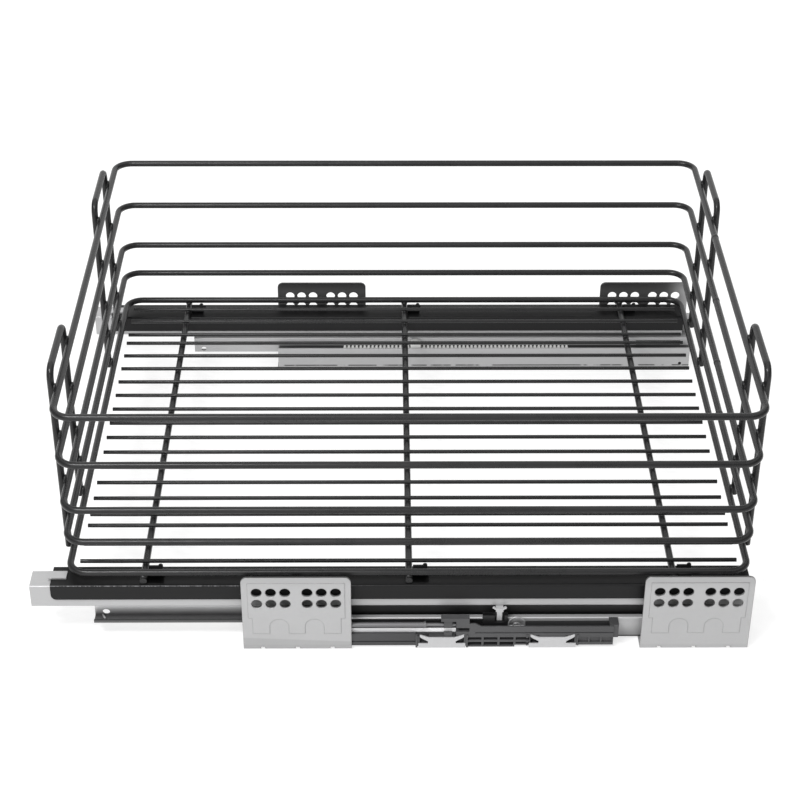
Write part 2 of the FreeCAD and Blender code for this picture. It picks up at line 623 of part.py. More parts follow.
def build_rails(tag, side, cabinet_front, middle_back):
    """The three telescoping rails."""
    sheet_out = f"({CABINET_OUT} - rail_sheet)"
    sheet_in = f"({CABINET_IN} + rail_sheet)"
    cabinet = section(
        f"cabinet_rail_{tag}", side,
        [[
            (CABINET_OUT, RAIL_FOOT), (CABINET_OUT, OUTER_TOP),
            (f"{CABINET_OUT} - cabinet_lip", OUTER_TOP), (f"{CABINET_OUT} - cabinet_lip", f"{OUTER_TOP} - rail_sheet"),
            (sheet_out, f"{OUTER_TOP} - rail_sheet"), (sheet_out, TRACK),
            (sheet_in, TRACK), (sheet_in, RAIL_TOP), (CABINET_IN, RAIL_TOP), (CABINET_IN, RAIL_FOOT),
            (f"{CABINET_IN} + base_flange", RAIL_FOOT), (f"{CABINET_IN} + base_flange", f"{RAIL_FOOT} + rail_sheet"),
            (sheet_in, f"{RAIL_FOOT} + rail_sheet"), (sheet_in, f"{TRACK} - rail_sheet"),
            (sheet_out, f"{TRACK} - rail_sheet"), (sheet_out, f"{RAIL_FOOT} + rail_sheet"),
            (f"{CABINET_OUT} - base_flange", f"{RAIL_FOOT} + rail_sheet"), (f"{CABINET_OUT} - base_flange", RAIL_FOOT),
        ]],
        cabinet_front, "cabinet_rail_length", "rail_bend",
        [(CABINET_OUT, RAIL_FOOT), (CABINET_OUT, OUTER_TOP), (CABINET_IN, RAIL_FOOT)],
    )
    rivet_holes = [
        rod(f"rivet_hole_{tag}_{index}", "z", x, y, "0", "rivet + 2*rivet_play", f"{RAIL_FOOT} + 2*rail_sheet")
        for index, (x, y) in enumerate(rivet_places(side, cabinet_front), start=1)
    ]
    back_hole = pin_across(
        f"back_hole_{tag}", side, f"{cabinet_front} + cabinet_rail_length - rail_hole_inset",
        f"{CABINET_IN} - rail_sheet", f"{CABINET_IN} + 2*rail_sheet", f"{RAIL_FOOT} + rail_sheet + back_hole", "back_hole",
    )
    keep(cut(f"cabinet_rail_{tag}_cut", cabinet, rivet_holes + [back_hole]), f"cabinet_rail_{tag}")

    ledge_in = f"({MIDDLE_OUT} - middle_sheet)"
    web_in = f"({WEB_OUT} - middle_sheet)"
    ledge_top = f"({MIDDLE_FOOT} + middle_sheet)"
    middle = section(
        f"middle_rail_{tag}", side,
        [
            [
                (MIDDLE_IN, MIDDLE_FOOT), (MIDDLE_OUT, MIDDLE_FOOT),
                (MIDDLE_OUT, f"{MIDDLE_FOOT} + middle_lip"), (ledge_in, f"{MIDDLE_FOOT} + middle_lip"),
                (ledge_in, ledge_top), (WEB_OUT, ledge_top), (WEB_OUT, HEAD_FOOT),
                (HEAD_OUT, HEAD_FOOT), (HEAD_OUT, HEAD_TOP), (HEAD_IN, HEAD_TOP), (HEAD_IN, HEAD_FOOT),
                (web_in, HEAD_FOOT), (web_in, BOX_TOP), (MIDDLE_IN, BOX_TOP),
            ],
            rectangle(f"{HEAD_IN} + middle_sheet", f"{HEAD_OUT} - middle_sheet",
                      f"{HEAD_FOOT} + middle_sheet", f"{HEAD_TOP} - middle_sheet"),
            rectangle(f"{MIDDLE_IN} + middle_sheet", web_in, ledge_top, f"{BOX_TOP} - middle_sheet"),
        ],
        f"{middle_back} - middle_length", "middle_length", "rail_bend",
        [
            (MIDDLE_IN, MIDDLE_FOOT), (MIDDLE_OUT, MIDDLE_FOOT), (MIDDLE_IN, BOX_TOP), (HEAD_OUT, HEAD_TOP),
            (HEAD_IN, HEAD_TOP), (HEAD_OUT, HEAD_FOOT), (HEAD_IN, HEAD_FOOT),
        ],
    )
    hole_place = f"({middle_back} - middle_length + rail_hole_inset)"
    hole_height = f"({MIDDLE_FOOT} + web_hole_rise)"
    half_run = "((web_hole_length - web_hole_height)/2)"
    front_holes = [
        pin_across(f"front_hole_{tag}", side, hole_place, f"{MIDDLE_IN} - middle_sheet", f"{MIDDLE_IN} + 2*middle_sheet",
                   f"{MIDDLE_FOOT} + middle_sheet + rail_hole/2", "rail_hole"),
        block(f"web_hole_{tag}", side, f"{hole_place} - {half_run}", f"{hole_place} + {half_run}",
              f"{web_in} - middle_sheet/2", f"{WEB_OUT} + middle_sheet", f"{hole_height} - web_hole_height/2",
              f"{hole_height} + web_hole_height/2"),
        block(f"foot_opening_{tag}", side, f"{hole_place} - foot_opening_length/2",
              f"{hole_place} + foot_opening_length/2", f"{web_in} - foot_opening_width", web_in,
              f"{MIDDLE_FOOT} - middle_sheet", f"{ledge_top} + middle_sheet/2"),
    ]
    for step in (-1, 1):
        front_holes.append(pin_across(f"web_hole_{tag}_end_{step + 2}", side, f"{hole_place} + {step}*{half_run}",
                                      f"{web_in} - middle_sheet/2", f"{WEB_OUT} + middle_sheet", hole_height,
                                      "web_hole_height"))
    keep(cut(f"middle_rail_{tag}_cut", middle, front_holes), f"middle_rail_{tag}")

    drawer_wall_out = f"({DRAWER_OUT} - rail_sheet)"
    drawer_wall_in = f"({DRAWER_IN} + rail_sheet)"
    drawer = section(
        f"drawer_rail_{tag}", side,
        [[
            (DRAWER_OUT, DRAWER_FOOT), (DRAWER_OUT, DRAWER_TOP), (DRAWER_IN, DRAWER_TOP), (DRAWER_IN, DRAWER_FOOT),
            (f"{DRAWER_IN} + drawer_lip", DRAWER_FOOT), (f"{DRAWER_IN} + drawer_lip", f"{DRAWER_FOOT} + rail_sheet"),
            (drawer_wall_in, f"{DRAWER_FOOT} + rail_sheet"), (drawer_wall_in, f"{DRAWER_TOP} - rail_sheet"),
            (drawer_wall_out, f"{DRAWER_TOP} - rail_sheet"), (drawer_wall_out, f"{DRAWER_FOOT} + rail_sheet"),
            (f"{DRAWER_OUT} - drawer_lip", f"{DRAWER_FOOT} + rail_sheet"), (f"{DRAWER_OUT} - drawer_lip", DRAWER_FOOT),
        ]],
        DRAWER_FRONT, "drawer_rail_length", "rail_bend",
        [(DRAWER_OUT, DRAWER_FOOT), (DRAWER_OUT, DRAWER_TOP), (DRAWER_IN, DRAWER_FOOT), (DRAWER_IN, DRAWER_TOP)],
    )
    hook_start = f"{DRAWER_FRONT} + hook_setback"
    hook_out = f"{DRAWER_OUT} - hook_inset"
    hook_in = f"{hook_out} - hook_width"
    riser = block(f"hook_riser_{tag}", side, hook_start, f"{hook_start} + rail_sheet", hook_in, hook_out,
                  f"{DRAWER_TOP} - rail_sheet", f"{SEAT} + rail_sheet")
    tongue = block(f"hook_tongue_{tag}", side, hook_start, f"{hook_start} + hook_length", hook_in, hook_out,
                   SEAT, f"{SEAT} + rail_sheet")
    keep(fuse(f"drawer_rail_{tag}_hooked", [drawer, riser, tongue]), f"drawer_rail_{tag}")


def rivet_spots(side, middle):
    """Where the rivets pass through one bracket."""
    rows = (f"{side}*({CABINET_OUT} - {RIVET_INSET})", f"{side}*({CABINET_IN} + {RIVET_INSET})")
    return [(f"{middle} + {step}*rivet_spread", row) for step in (-1, 1) for row in rows]


def rivet_places(side, cabinet_front):
    """Where the rivets join the cabinet rail to its two brackets."""
    front_middle = f"{cabinet_front} - bracket_lead + bracket_width/2"
    back_middle = f"{cabinet_front} + cabinet_rail_length - bracket_width/2"
    return rivet_spots(side, front_middle) + rivet_spots(side, back_middle)


def build_cover(tag, side):
    """The black cover that the basket stands on, with a lanced tab and its slot beside each cross wire."""
    wall_out = f"({COVER_OUT} - cover_sheet)"
    wall_in = f"({COVER_IN} + cover_sheet)"
    under = f"({SEAT} - cover_sheet)"
    cover = section(
        f"cover_{tag}", side,
        [[
            (COVER_OUT, f"{SEAT} - cover_outer_drop"), (COVER_OUT, SEAT), (COVER_IN, SEAT),
            (COVER_IN, f"{SEAT} - cover_inner_drop"), (wall_in, f"{SEAT} - cover_inner_drop"),
            (wall_in, under), (wall_out, under), (wall_out, f"{SEAT} - cover_outer_drop"),
        ]],
        COVER_FRONT, "cover_length", "cover_bend", [(COVER_OUT, SEAT), (COVER_IN, SEAT)],
    )
    doc.recompute()
    corners = [(0, number(f"{SEAT} - {drop}")) for drop in ("cover_outer_drop", "cover_inner_drop")]
    rounded(cover, cover.Tip, "cover_corner", "y", corners)
    tab_out = f"({RING_SIDE} - ring_wire/2 - tab_ring_gap)"
    slots = []
    tabs = []
    for index, step in enumerate((-1, 0, 1), start=1):
        wire = f"({BASKET_X} + {step}*cross_spread)"
        start = f"({wire} + cross_wire/2 + tab_side_gap)"
        slots.append(block(f"slot_{tag}_{index}", side, wire, f"{wire} + slot_length", tab_out,
                           f"{tab_out} + slot_depth", f"{under} - cover_sheet", f"{SEAT} + cover_sheet"))
        tabs.append(block(f"tab_{tag}_{index}", side, start, f"{start} + tab_width", f"{tab_out} - cover_sheet",
                          tab_out, under, f"{SEAT} + tab_rise - tab_nub_rise"))
        tabs.append(pin_across(f"nub_{tag}_{index}", side, f"{start} + tab_width - tab_nub",
                               f"{tab_out} - cover_sheet", tab_out, f"{SEAT} + tab_rise - tab_nub", "2*tab_nub"))
    slotted = cut(f"cover_{tag}_slotted", cover, slots)
    keep(fuse(f"cover_{tag}_tabbed", [slotted] + tabs), f"cover_{tag}")


def build_bracket(label, side, start):
    """A perforated bracket with an embossed panel, for the cabinet's side."""
    inner_face = f"({BRACKET_FACE} - bracket_sheet)"
    foot_end = f"({BRACKET_FACE} - bracket_foot)"
    body = section(
        label, side,
        [[
            (foot_end, "0"), (BRACKET_FACE, "0"), (BRACKET_FACE, "bracket_height"),
            (inner_face, "bracket_height"), (inner_face, "bracket_sheet"), (foot_end, "bracket_sheet"),
        ]],
        start, "bracket_width", "bracket_bend", [(BRACKET_FACE, "0")],
    )
    doc.recompute()
    rounded(body, body.Tip, "bracket_corner", "y",
            [(0, number("bracket_height")), (number("bracket_width"), number("bracket_height"))])

    middle = f"({start} + bracket_width/2)"
    upper = block(label + "_upper_panel", side, f"{start} + panel_side", f"{start} + bracket_width - panel_side",
                  BRACKET_FACE, CABINET_SIDE, "bracket_height - panel_shoulder", "bracket_height - panel_top")
    lower = block(label + "_lower_panel", side, f"{start} + panel_neck", f"{start} + bracket_width - panel_neck",
                  BRACKET_FACE, CABINET_SIDE, "panel_foot", "bracket_height - panel_shoulder")
    panel = fuse(label + "_panel", [upper, lower])
    arches = []
    for step in (-1, 1):
        arch = f"({middle} + {step}*arch_spread)"
        arches.append(block(f"{label}_arch_{step + 2}", side, f"{arch} - arch_width/2", f"{arch} + arch_width/2",
                            BRACKET_FACE, CABINET_SIDE, "panel_foot", "arch_top - arch_width/2"))
        arches.append(pin_across(f"{label}_arch_top_{step + 2}", side, arch, BRACKET_FACE, CABINET_SIDE,
                                 "arch_top - arch_width/2", "arch_width"))
    raised = cut(label + "_raised", panel, arches)

    holes = []
    for row in (0, 1):
        height = f"bracket_height - hole_drop - {row}*hole_row_pitch"
        for step in (-3, -2, -1, 1, 2, 3):
            sign = 1 if step > 0 else -1
            offset = f"{sign}*(hole_first + {abs(step) - 1}*hole_pitch)"
            holes.append(pin_across(f"{label}_hole_{row}_{step + 3}", side, f"{middle} + {offset}",
                                    f"{inner_face} - bracket_sheet", f"{CABINET_SIDE} + bracket_sheet", height, "hole"))
    for step in (-1, 0, 1):
        holes.append(block(f"{label}_notch_{step + 1}", side, f"{middle} + {step}*notch_spread - notch/2",
                           f"{middle} + {step}*notch_spread + notch/2", f"{inner_face} - bracket_bend",
                           f"{CABINET_SIDE} + bracket_sheet", "-bracket_sheet", "notch_height"))
    for index, (x, y) in enumerate(rivet_spots(side, middle), start=1):
        holes.append(rod(f"{label}_rivet_hole_{index}", "z", x, y, "-bracket_sheet", "rivet + 2*rivet_play",
                         "3*bracket_sheet"))
    keep(cut(label + "_drilled", fuse(label + "_whole", [body, raised]), holes), label)


def build_rivets(tag, side, cabinet_front):
    """The rivets that join the cabinet rail to its brackets."""
    rivets = []
    for index, (x, y) in enumerate(rivet_places(side, cabinet_front), start=1):
        shank = rod(f"rivet_shank_{tag}_{index}", "z", x, y, "0", "rivet", f"{RAIL_FOOT} + rail_sheet")
        head = rod(f"rivet_head_{tag}_{index}", "z", x, y, f"{RAIL_FOOT} + rail_sheet", "rivet_head",
                   "rivet_head_height")
        rivets.append(fuse(f"rivet_{tag}_{index}", [shank, head]))
    keep(group(f"rivets_{tag}", rivets), f"rivets_{tag}", len(rivets))


def build_rack(tag, side, cabinet_front):
    """The toothed rack that lies between the cabinet rail's inner wall and the middle rail."""
    inner = f"({CABINET_IN} + rail_sheet)"
    outer = f"({MIDDLE_IN} - rack_play)"
    start = f"({cabinet_front} + rack_start)"
    base_top = f"({TRACK} + rack_base_height)"
    tip = f"({base_top} + tooth_height)"
    length = "(rack_teeth*rack_pitch)"
    body = doc.addObject("PartDesign::Body", f"rack_{tag}")
    base_sketch = sketch_on(body, "XZ_Plane", f"rack_{tag}_base")
    draw_loop(base_sketch, [("0", TRACK), (length, TRACK), (length, base_top), ("0", base_top)])
    base = body.newObject("PartDesign::Pad", f"rack_{tag}_run")
    base.Profile = base_sketch
    base.setExpression("Length", bound(f"{outer} - {inner}"))
    tooth_sketch = sketch_on(body, "XZ_Plane", f"rack_{tag}_tooth")
    draw_loop(tooth_sketch, [
        ("0", base_top), ("rack_pitch", base_top),
        ("rack_pitch/2 + rack_land/2", tip), ("rack_pitch/2 - rack_land/2", tip),
    ])
    tooth = body.newObject("PartDesign::Pad", f"rack_{tag}_tooth_run")
    tooth.Profile = tooth_sketch
    tooth.setExpression("Length", bound(f"{outer} - {inner}"))
    teeth = body.newObject("PartDesign::LinearPattern", f"rack_{tag}_teeth")
    teeth.Originals = [tooth]
    teeth.Direction = (tooth_sketch, ["H_Axis"])
    teeth.Occurrences = int(number("rack_teeth"))
    teeth.setExpression("Occurrences", bound("rack_teeth"))
    teeth.setExpression("Length", bound("(rack_teeth - 1)*rack_pitch"))
    body.Tip = teeth
    body.setExpression("Placement.Base.x", bound(start))
    body.setExpression("Placement.Base.y", bound(f"-{inner}" if side < 0 else outer))
    boss_x = f"{cabinet_front} + boss_place"
    boss = pin_across(f"rack_boss_{tag}", side, boss_x, inner, outer, f"{TRACK} + boss_rise", "boss")
    keep(fuse(f"rack_{tag}_whole", [body, boss]), f"rack_{tag}")


def build_lower_rollers(tag, side):
    """The cage and rollers between the cabinet rail's track and the middle rail."""
    start = f"({BASKET_X} + lower_cage_start)"
    outer = f"({MIDDLE_OUT} - side_play)"
    inner = f"({outer} - lower_cage_width)"
    low = f"({MIDDLE_FOOT} - {ROLLER_GAP}/2 - cage_sheet/2)"
    high = f"({low} + cage_sheet)"
    plate = block(f"lower_plate_{tag}", side, start, f"{start} + lower_cage_length", inner, outer, low, high)
    axis = f"({MIDDLE_FOOT} - {ROLLER_GAP}/2)"
    roller_in = f"({inner} + (lower_cage_width - lower_roller_length)/2)"
    roller_out = f"({roller_in} + lower_roller_length)"
    count = int(number("lower_cage_length") // number("lower_roller_pitch"))
    windows = []
    rollers = []
    for index in range(count):
        x = f"({start} + ({index} + 0.5)*lower_cage_length/{count})"
        windows.append(block(f"lower_window_{tag}_{index}", side, f"{x} - roller/2 - window_play",
                             f"{x} + roller/2 + window_play", f"{roller_in} - window_play",
                             f"{roller_out} + window_play", f"{low} - cage_sheet", f"{high} + cage_sheet"))
        rollers.append(pin_across(f"lower_roller_{tag}_{index}", side, x, roller_in, roller_out, axis, "roller"))
    keep(cut(f"lower_cage_{tag}", plate, windows), f"lower_cage_{tag}")
    keep(group(f"lower_rollers_{tag}", rollers), f"lower_rollers_{tag}", count)


def build_upper_rollers(tag, side):
    """The cage and rollers between the middle rail's head and the drawer rail."""
    start = f"({BASKET_X} + upper_cage_start)"
    slack = f"(({ROLLER_GAP} - cage_sheet)/2)"
    top_low = f"({HEAD_TOP} + {slack})"
    top_high = f"({top_low} + cage_sheet)"
    limb_out = f"({HEAD_OUT} + {slack})"
    limb_in = f"({HEAD_IN} - {slack})"
    foot = f"({HEAD_FOOT} + middle_sheet)"
    cage = section(
        f"upper_cage_{tag}_limbs", side,
        [[
            (f"{limb_out} + cage_sheet", foot), (f"{limb_out} + cage_sheet", top_high),
            (f"{limb_in} - cage_sheet", top_high), (f"{limb_in} - cage_sheet", foot),
            (limb_in, foot), (limb_in, top_low), (limb_out, top_low), (limb_out, foot),
        ]],
        start, "upper_cage_length",
    )
    count = int(number("upper_cage_length") // number("upper_roller_pitch"))
    centre = f"(({HEAD_IN} + {HEAD_OUT})/2)"
    half = "(upper_roller_length/2)"
    middle_height = f"(({foot} + {HEAD_TOP})/2)"
    windows = []
    rollers = []
    for index in range(count):
        x = f"({start} + ({index} + 0.5)*upper_cage_length/{count})"
        low_x = f"{x} - roller/2 - window_play"
        high_x = f"{x} + roller/2 + window_play"
        windows.append(block(f"top_window_{tag}_{index}", side, low_x, high_x, f"{centre} - {half} - window_play",
                             f"{centre} + {half} + window_play", f"{top_low} - cage_sheet", f"{top_high} + cage_sheet"))
        rollers.append(pin_across(f"top_roller_{tag}_{index}", side, x, f"{centre} - {half}", f"{centre} + {half}",
                                  f"{HEAD_TOP} + {ROLLER_GAP}/2", "roller"))
        for name, face in (("outer", f"({HEAD_OUT} + {ROLLER_GAP}/2)"), ("inner", f"({HEAD_IN} - {ROLLER_GAP}/2)")):
            windows.append(block(f"{name}_window_{tag}_{index}", side, low_x, high_x, f"{face} - cage_sheet",
                                 f"{face} + cage_sheet", f"{middle_height} - {half} - window_play",
                                 f"{middle_height} + {half} + window_play"))
            rollers.append(rod(f"{name}_roller_{tag}_{index}", "z", x, f"{side}*{face}",
                               f"{middle_height} - {half}", "roller", "upper_roller_length"))
    keep(cut(f"upper_cage_{tag}", cage, windows), f"upper_cage_{tag}")
    keep(group(f"upper_rollers_{tag}", rollers), f"upper_rollers_{tag}", len(rollers))


def build_housing(tag, side, cabinet_front):
    """The soft-close unit's fixed pieces: tray, housing, guide strip, clips, rod, spring and its cover."""
    def along(size):
        return f"({cabinet_front} + {size})"

    def from_face(name, start, end, low, high, depth):
        """A block that reaches in from the unit's face, for a cut."""
        return block(f"{name}_{tag}", side, along(start), along(end), f"{UNIT_OUT} - {depth}",
                     f"{UNIT_OUT} + {depth}", low, high)

    tray = block(f"tray_{tag}", side, along("tray_start"), along("housing_start"), CABINET_OUT, UNIT_OUT,
                 "tray_foot", "floor_height")
    groove = from_face("tray_groove", "tray_start - tray_foot", "housing_start + tray_foot", "groove_low",
                       "groove_low + groove_height", "groove_depth")
    recess = from_face("tray_recess", "tray_start - tray_foot", "housing_start + tray_foot", "0",
                       "tray_foot + tray_recess_height", "groove_depth")
    keep(cut(f"tray_grooved_{tag}", tray, [groove, recess]), f"damper_tray_{tag}")

    anchor_end = "(anchor_start + anchor_length)"
    base = block(f"housing_base_{tag}", side, along("housing_start"), along("housing_end"), CABINET_OUT, UNIT_OUT,
                 "unit_foot", "floor_height")
    wall = doc.addObject("PartDesign::Body", f"housing_wall_{tag}")
    outline = sketch_on(wall, "XZ_Plane", f"wall_outline_{tag}")
    draw_loop(outline, [
        ("beam_start", "floor_height"), ("housing_end", "floor_height"), ("housing_end", BEAM_TOP),
        (f"{anchor_end} + slope_start + slope_length", BEAM_TOP),
        (f"{anchor_end} + slope_start", f"{BEAM_TOP} + slope_rise"), ("beam_start", f"{BEAM_TOP} + slope_rise"),
    ])
    run = wall.newObject("PartDesign::Pad", f"wall_run_{tag}")
    run.Profile = outline
    run.setExpression("Length", bound("beam_wall"))
    wall.setExpression("Placement.Base.x", bound(cabinet_front))
    wall.setExpression("Placement.Base.y", bound(f"-({UNIT_OUT} - beam_wall)" if side < 0 else UNIT_OUT))
    cap_start = along("housing_end - end_cap_overlap")
    cap = block(f"housing_cap_{tag}", side, cap_start, f"{cap_start} + end_cap_length", CABINET_OUT,
                f"{UNIT_OUT} - end_cap_inset", "end_cap_foot", "end_cap_rise")
    anchor_front = block(f"anchor_front_{tag}", side, along("anchor_start"), along("beam_start"), CHANNEL_OUT,
                         UNIT_OUT, "anchor_foot", "anchor_rise")
    anchor_rear = block(f"anchor_back_{tag}", side, along("beam_start"), along(anchor_end),
                        CHANNEL_OUT, UNIT_OUT, "floor_height", "anchor_rise")
    saddle_end = "saddle_start + saddle_length"
    saddle_out = f"{DAMPER_AXIS} + damper_rod/2 + saddle_wall"
    saddle = block(f"saddle_{tag}", side, along("saddle_start"), along(saddle_end), CHANNEL_OUT, saddle_out,
                   f"damper_height - {SADDLE_HALF}", "anchor_foot")
    saddle_bore = rod(f"saddle_bore_{tag}", "x", along("saddle_start - damper_rod"), f"{side}*{DAMPER_AXIS}",
                      "damper_height", "damper_rod + 2*rivet_play", "saddle_length + 2*damper_rod")
    pad = block(f"saddle_pad_{tag}", side, along("saddle_start"), along(saddle_end), f"{UNIT_OUT} - pit_depth",
                f"{UNIT_OUT} - groove_depth", "pit_height - groove_depth", "floor_height + saddle_pad_height")

    cells = []
    ribs = []
    column_pitch = "(cell_width + cell_rib)"
    for column in range(4):
        left = f"cell_start + {column}*{column_pitch}"
        right = f"{left} + cell_width"
        upper_low = "cell_top - upper_cell_height"
        lower_foot = "unit_foot + cell_floor" if column < 3 else "unit_foot + step_height + cell_floor"
        cells.append(from_face(f"upper_cell_{column}", left, right, upper_low, "cell_top", "cell_depth"))
        cells.append(from_face(f"lower_cell_{column}", left, right, lower_foot, f"{upper_low} - cell_row_rib",
                               "cell_depth"))
    for column in range(3):
        left = f"rib_cell_start + {column}*(rib_cell_width + rib_cell_rib)"
        cells.append(from_face(f"rear_cell_{column}", left, f"{left} + rib_cell_width", "rib_cell_low", "cell_top",
                               "rib_cell_depth"))
    for size in ("first_clip", "second_clip"):
        side_edge = "(clip_width/2 + clip_rib_gap)"
        cells.append(block(f"clip_seat_{tag}_{size}", side, along(f"{size} - {side_edge}"),
                           along(f"{size} + {side_edge}"), CABINET_OUT, f"{UNIT_OUT} + clip_rib_reach", "0",
                           RAIL_FOOT))
        for turn in (-1, 1):
            outer_edge = f"{turn}*(clip_width/2 - clip_tip)"
            waist_edge = f"{turn}*(clip_waist/2 - clip_rib_gap)"
            low_edge, high_edge = (outer_edge, waist_edge) if turn < 0 else (waist_edge, outer_edge)
            cells.append(from_face(f"pocket_{size}_{turn + 1}", f"{size} + {low_edge}", f"{size} + {high_edge}",
                                   "clip_pocket_low", "clip_pocket_high", "clip_pocket_depth"))
            edge = f"{size} + {turn}*(clip_width/2 + clip_rib_gap + clip_rib/2) - clip_rib/2"
            ribs.append(block(f"rib_{tag}_{size}_{turn + 1}", side, along(edge), along(f"{edge} + clip_rib"),
                              f"{UNIT_OUT} - clip_rib", f"{UNIT_OUT} + clip_rib_reach", "unit_foot",
                              "clip_rib_top"))
    cells.append(from_face("anchor_window", "beam_start - clip_rib", anchor_end, "window_low",
                           "window_low + window_height", "clip_pocket_depth"))
    cells.append(from_face("face_groove", f"{anchor_end} + slope_start", "housing_end + end_cap_overlap",
                           "floor_height + face_groove_rise", "floor_height + face_groove_rise + face_groove_height",
                           "groove_depth"))
    pit = from_face("pit", "housing_start - clip_rib", "beam_start", "pit_height", "floor_height + clip_rib",
                    "pit_depth")
    step = block(f"step_{tag}", side, along(f"cell_start + 3*{column_pitch} - cell_rib/2"),
                 along("housing_end + end_cap_length"), CABINET_OUT, f"{UNIT_OUT} + cell_rib", "0",
                 "unit_foot + step_height")
    plain = cut(f"housing_plain_{tag}", base, [pit])
    bored = cut(f"saddle_bored_{tag}", saddle, [saddle_bore])
    whole = fuse(f"housing_whole_{tag}", [plain, wall, cap, anchor_front, anchor_rear, bored, pad] + ribs)
    keep(cut(f"housing_{tag}", whole, cells + [step]), f"soft_close_housing_{tag}")

    guide_out = f"({UNIT_OUT} - guide_inset)"
    keep(block(f"guide_{tag}", side, along("guide_start"), along("guide_end"), f"{guide_out} - guide_sheet",
               guide_out, "floor_height", "floor_height + guide_height"), f"guide_strip_{tag}")

    clips = [build_clip(f"clip_{tag}_{size}", side, along(size)) for size in ("first_clip", "second_clip")]
    keep(group(f"clips_{tag}", clips), f"unit_clips_{tag}", len(clips))

    rod_end = along("beam_start - damper_rod_rear")
    keep(rod(f"damper_rod_piece_{tag}", "x", f"{rod_end} - damper_rod_length", f"{side}*{DAMPER_AXIS}",
             "damper_height", "damper_rod", "damper_rod_length"), f"damper_rod_{tag}")

    activator = along("activator_place")
    hook_end = f"({activator} - catch_lead + catch_length + 2*catch_hook + catch_hook_wire)"
    spring_start = f"({hook_end} + catch_play)"
    cover_axis = f"({CATCH_IN} + {UNIT_OUT} - beam_wall - catch_play)/2"
    cover = block(f"spring_cover_{tag}", side, spring_start, cap_start, CATCH_IN,
                  f"{UNIT_OUT} - beam_wall - catch_play", "floor_height", "floor_height + spring_cover_height")
    bore = rod(f"spring_bore_{tag}", "x", f"{spring_start} - spring_outside", f"{side}*{cover_axis}",
               "floor_height + spring_rise", "spring_outside + 2*spring_play",
               f"{cap_start} - {spring_start} + 2*spring_outside")
    keep(cut(f"spring_cover_bored_{tag}", cover, [bore]), f"spring_cover_{tag}")
    build_spring(tag, side, spring_start, cap_start, cover_axis)


def build_clip(name, side, middle):
    """A bright clip that holds the housing against the cabinet rail."""
    outer = f"({UNIT_OUT} + clip_sheet)"
    body = doc.addObject("PartDesign::Body", name)
    low = f"({RAIL_FOOT} - clip_sheet)"
    tip = "clip_width/2 - clip_tip"
    half = [
        ("clip_width/2", low), ("clip_width/2", f"{low} + clip_base"), ("clip_waist/2", f"{low} + clip_base"),
        ("clip_waist/2", f"{low} + clip_base + clip_notch"),
        (f"{tip} - clip_tip_slant", f"{low} + clip_horn_low - clip_tip_slant"),
        (tip, f"{low} + clip_horn_low"), (tip, f"{low} + clip_height"),
        ("clip_shoulder_width/2", f"{low} + clip_shoulder"),
    ]
    outline = half + [(f"-({x})", z) for x, z in reversed(half)]
    sketch = sketch_on(body, "XZ_Plane", name + "_outline")
    draw_loop(sketch, outline)
    pad = body.newObject("PartDesign::Pad", name + "_run")
    pad.Profile = sketch
    pad.setExpression("Length", bound("clip_sheet"))
    body.setExpression("Placement.Base.x", bound(middle))
    body.setExpression("Placement.Base.y", bound(f"-{UNIT_OUT}" if side < 0 else outer))
    leg = block(name + "_leg", side, f"{middle} - clip_width/2", f"{middle} + clip_width/2",
                f"{CABINET_OUT} - clip_reach", outer, low, RAIL_FOOT)
    return fuse(name + "_whole", [body, leg])


def build_spring(tag, side, start, end, axis):
    """The closing spring, one unbroken helix in its cover."""
    wire = number("spring_wire")
    radius = (number("spring_outside") - wire) / 2
    length = number(f"({end}) - ({start})")
    pitch = length / number("spring_turns")
    helix = Part.makeHelix(pitch, length, radius)
    start_point = helix.Edges[0].valueAt(helix.Edges[0].FirstParameter)
    direction = helix.Edges[0].tangentAt(helix.Edges[0].FirstParameter)
    profile = Part.Wire(Part.makeCircle(wire / 2, start_point, direction))
    solid = Part.Wire(helix.Edges).makePipeShell([profile], True, True)
    spring = doc.addObject("Part::Feature", f"spring_{tag}")
    spring.Shape = solid
    spring.Placement = FreeCAD.Placement(FreeCAD.Vector(), TURN["x"])
    place(spring, start, f"{side}*{axis}", "floor_height + spring_rise")
    print(f"closing_spring_{tag}: gap between turns {pitch - wire:.2f} mm")
    keep(spring, f"closing_spring_{tag}")


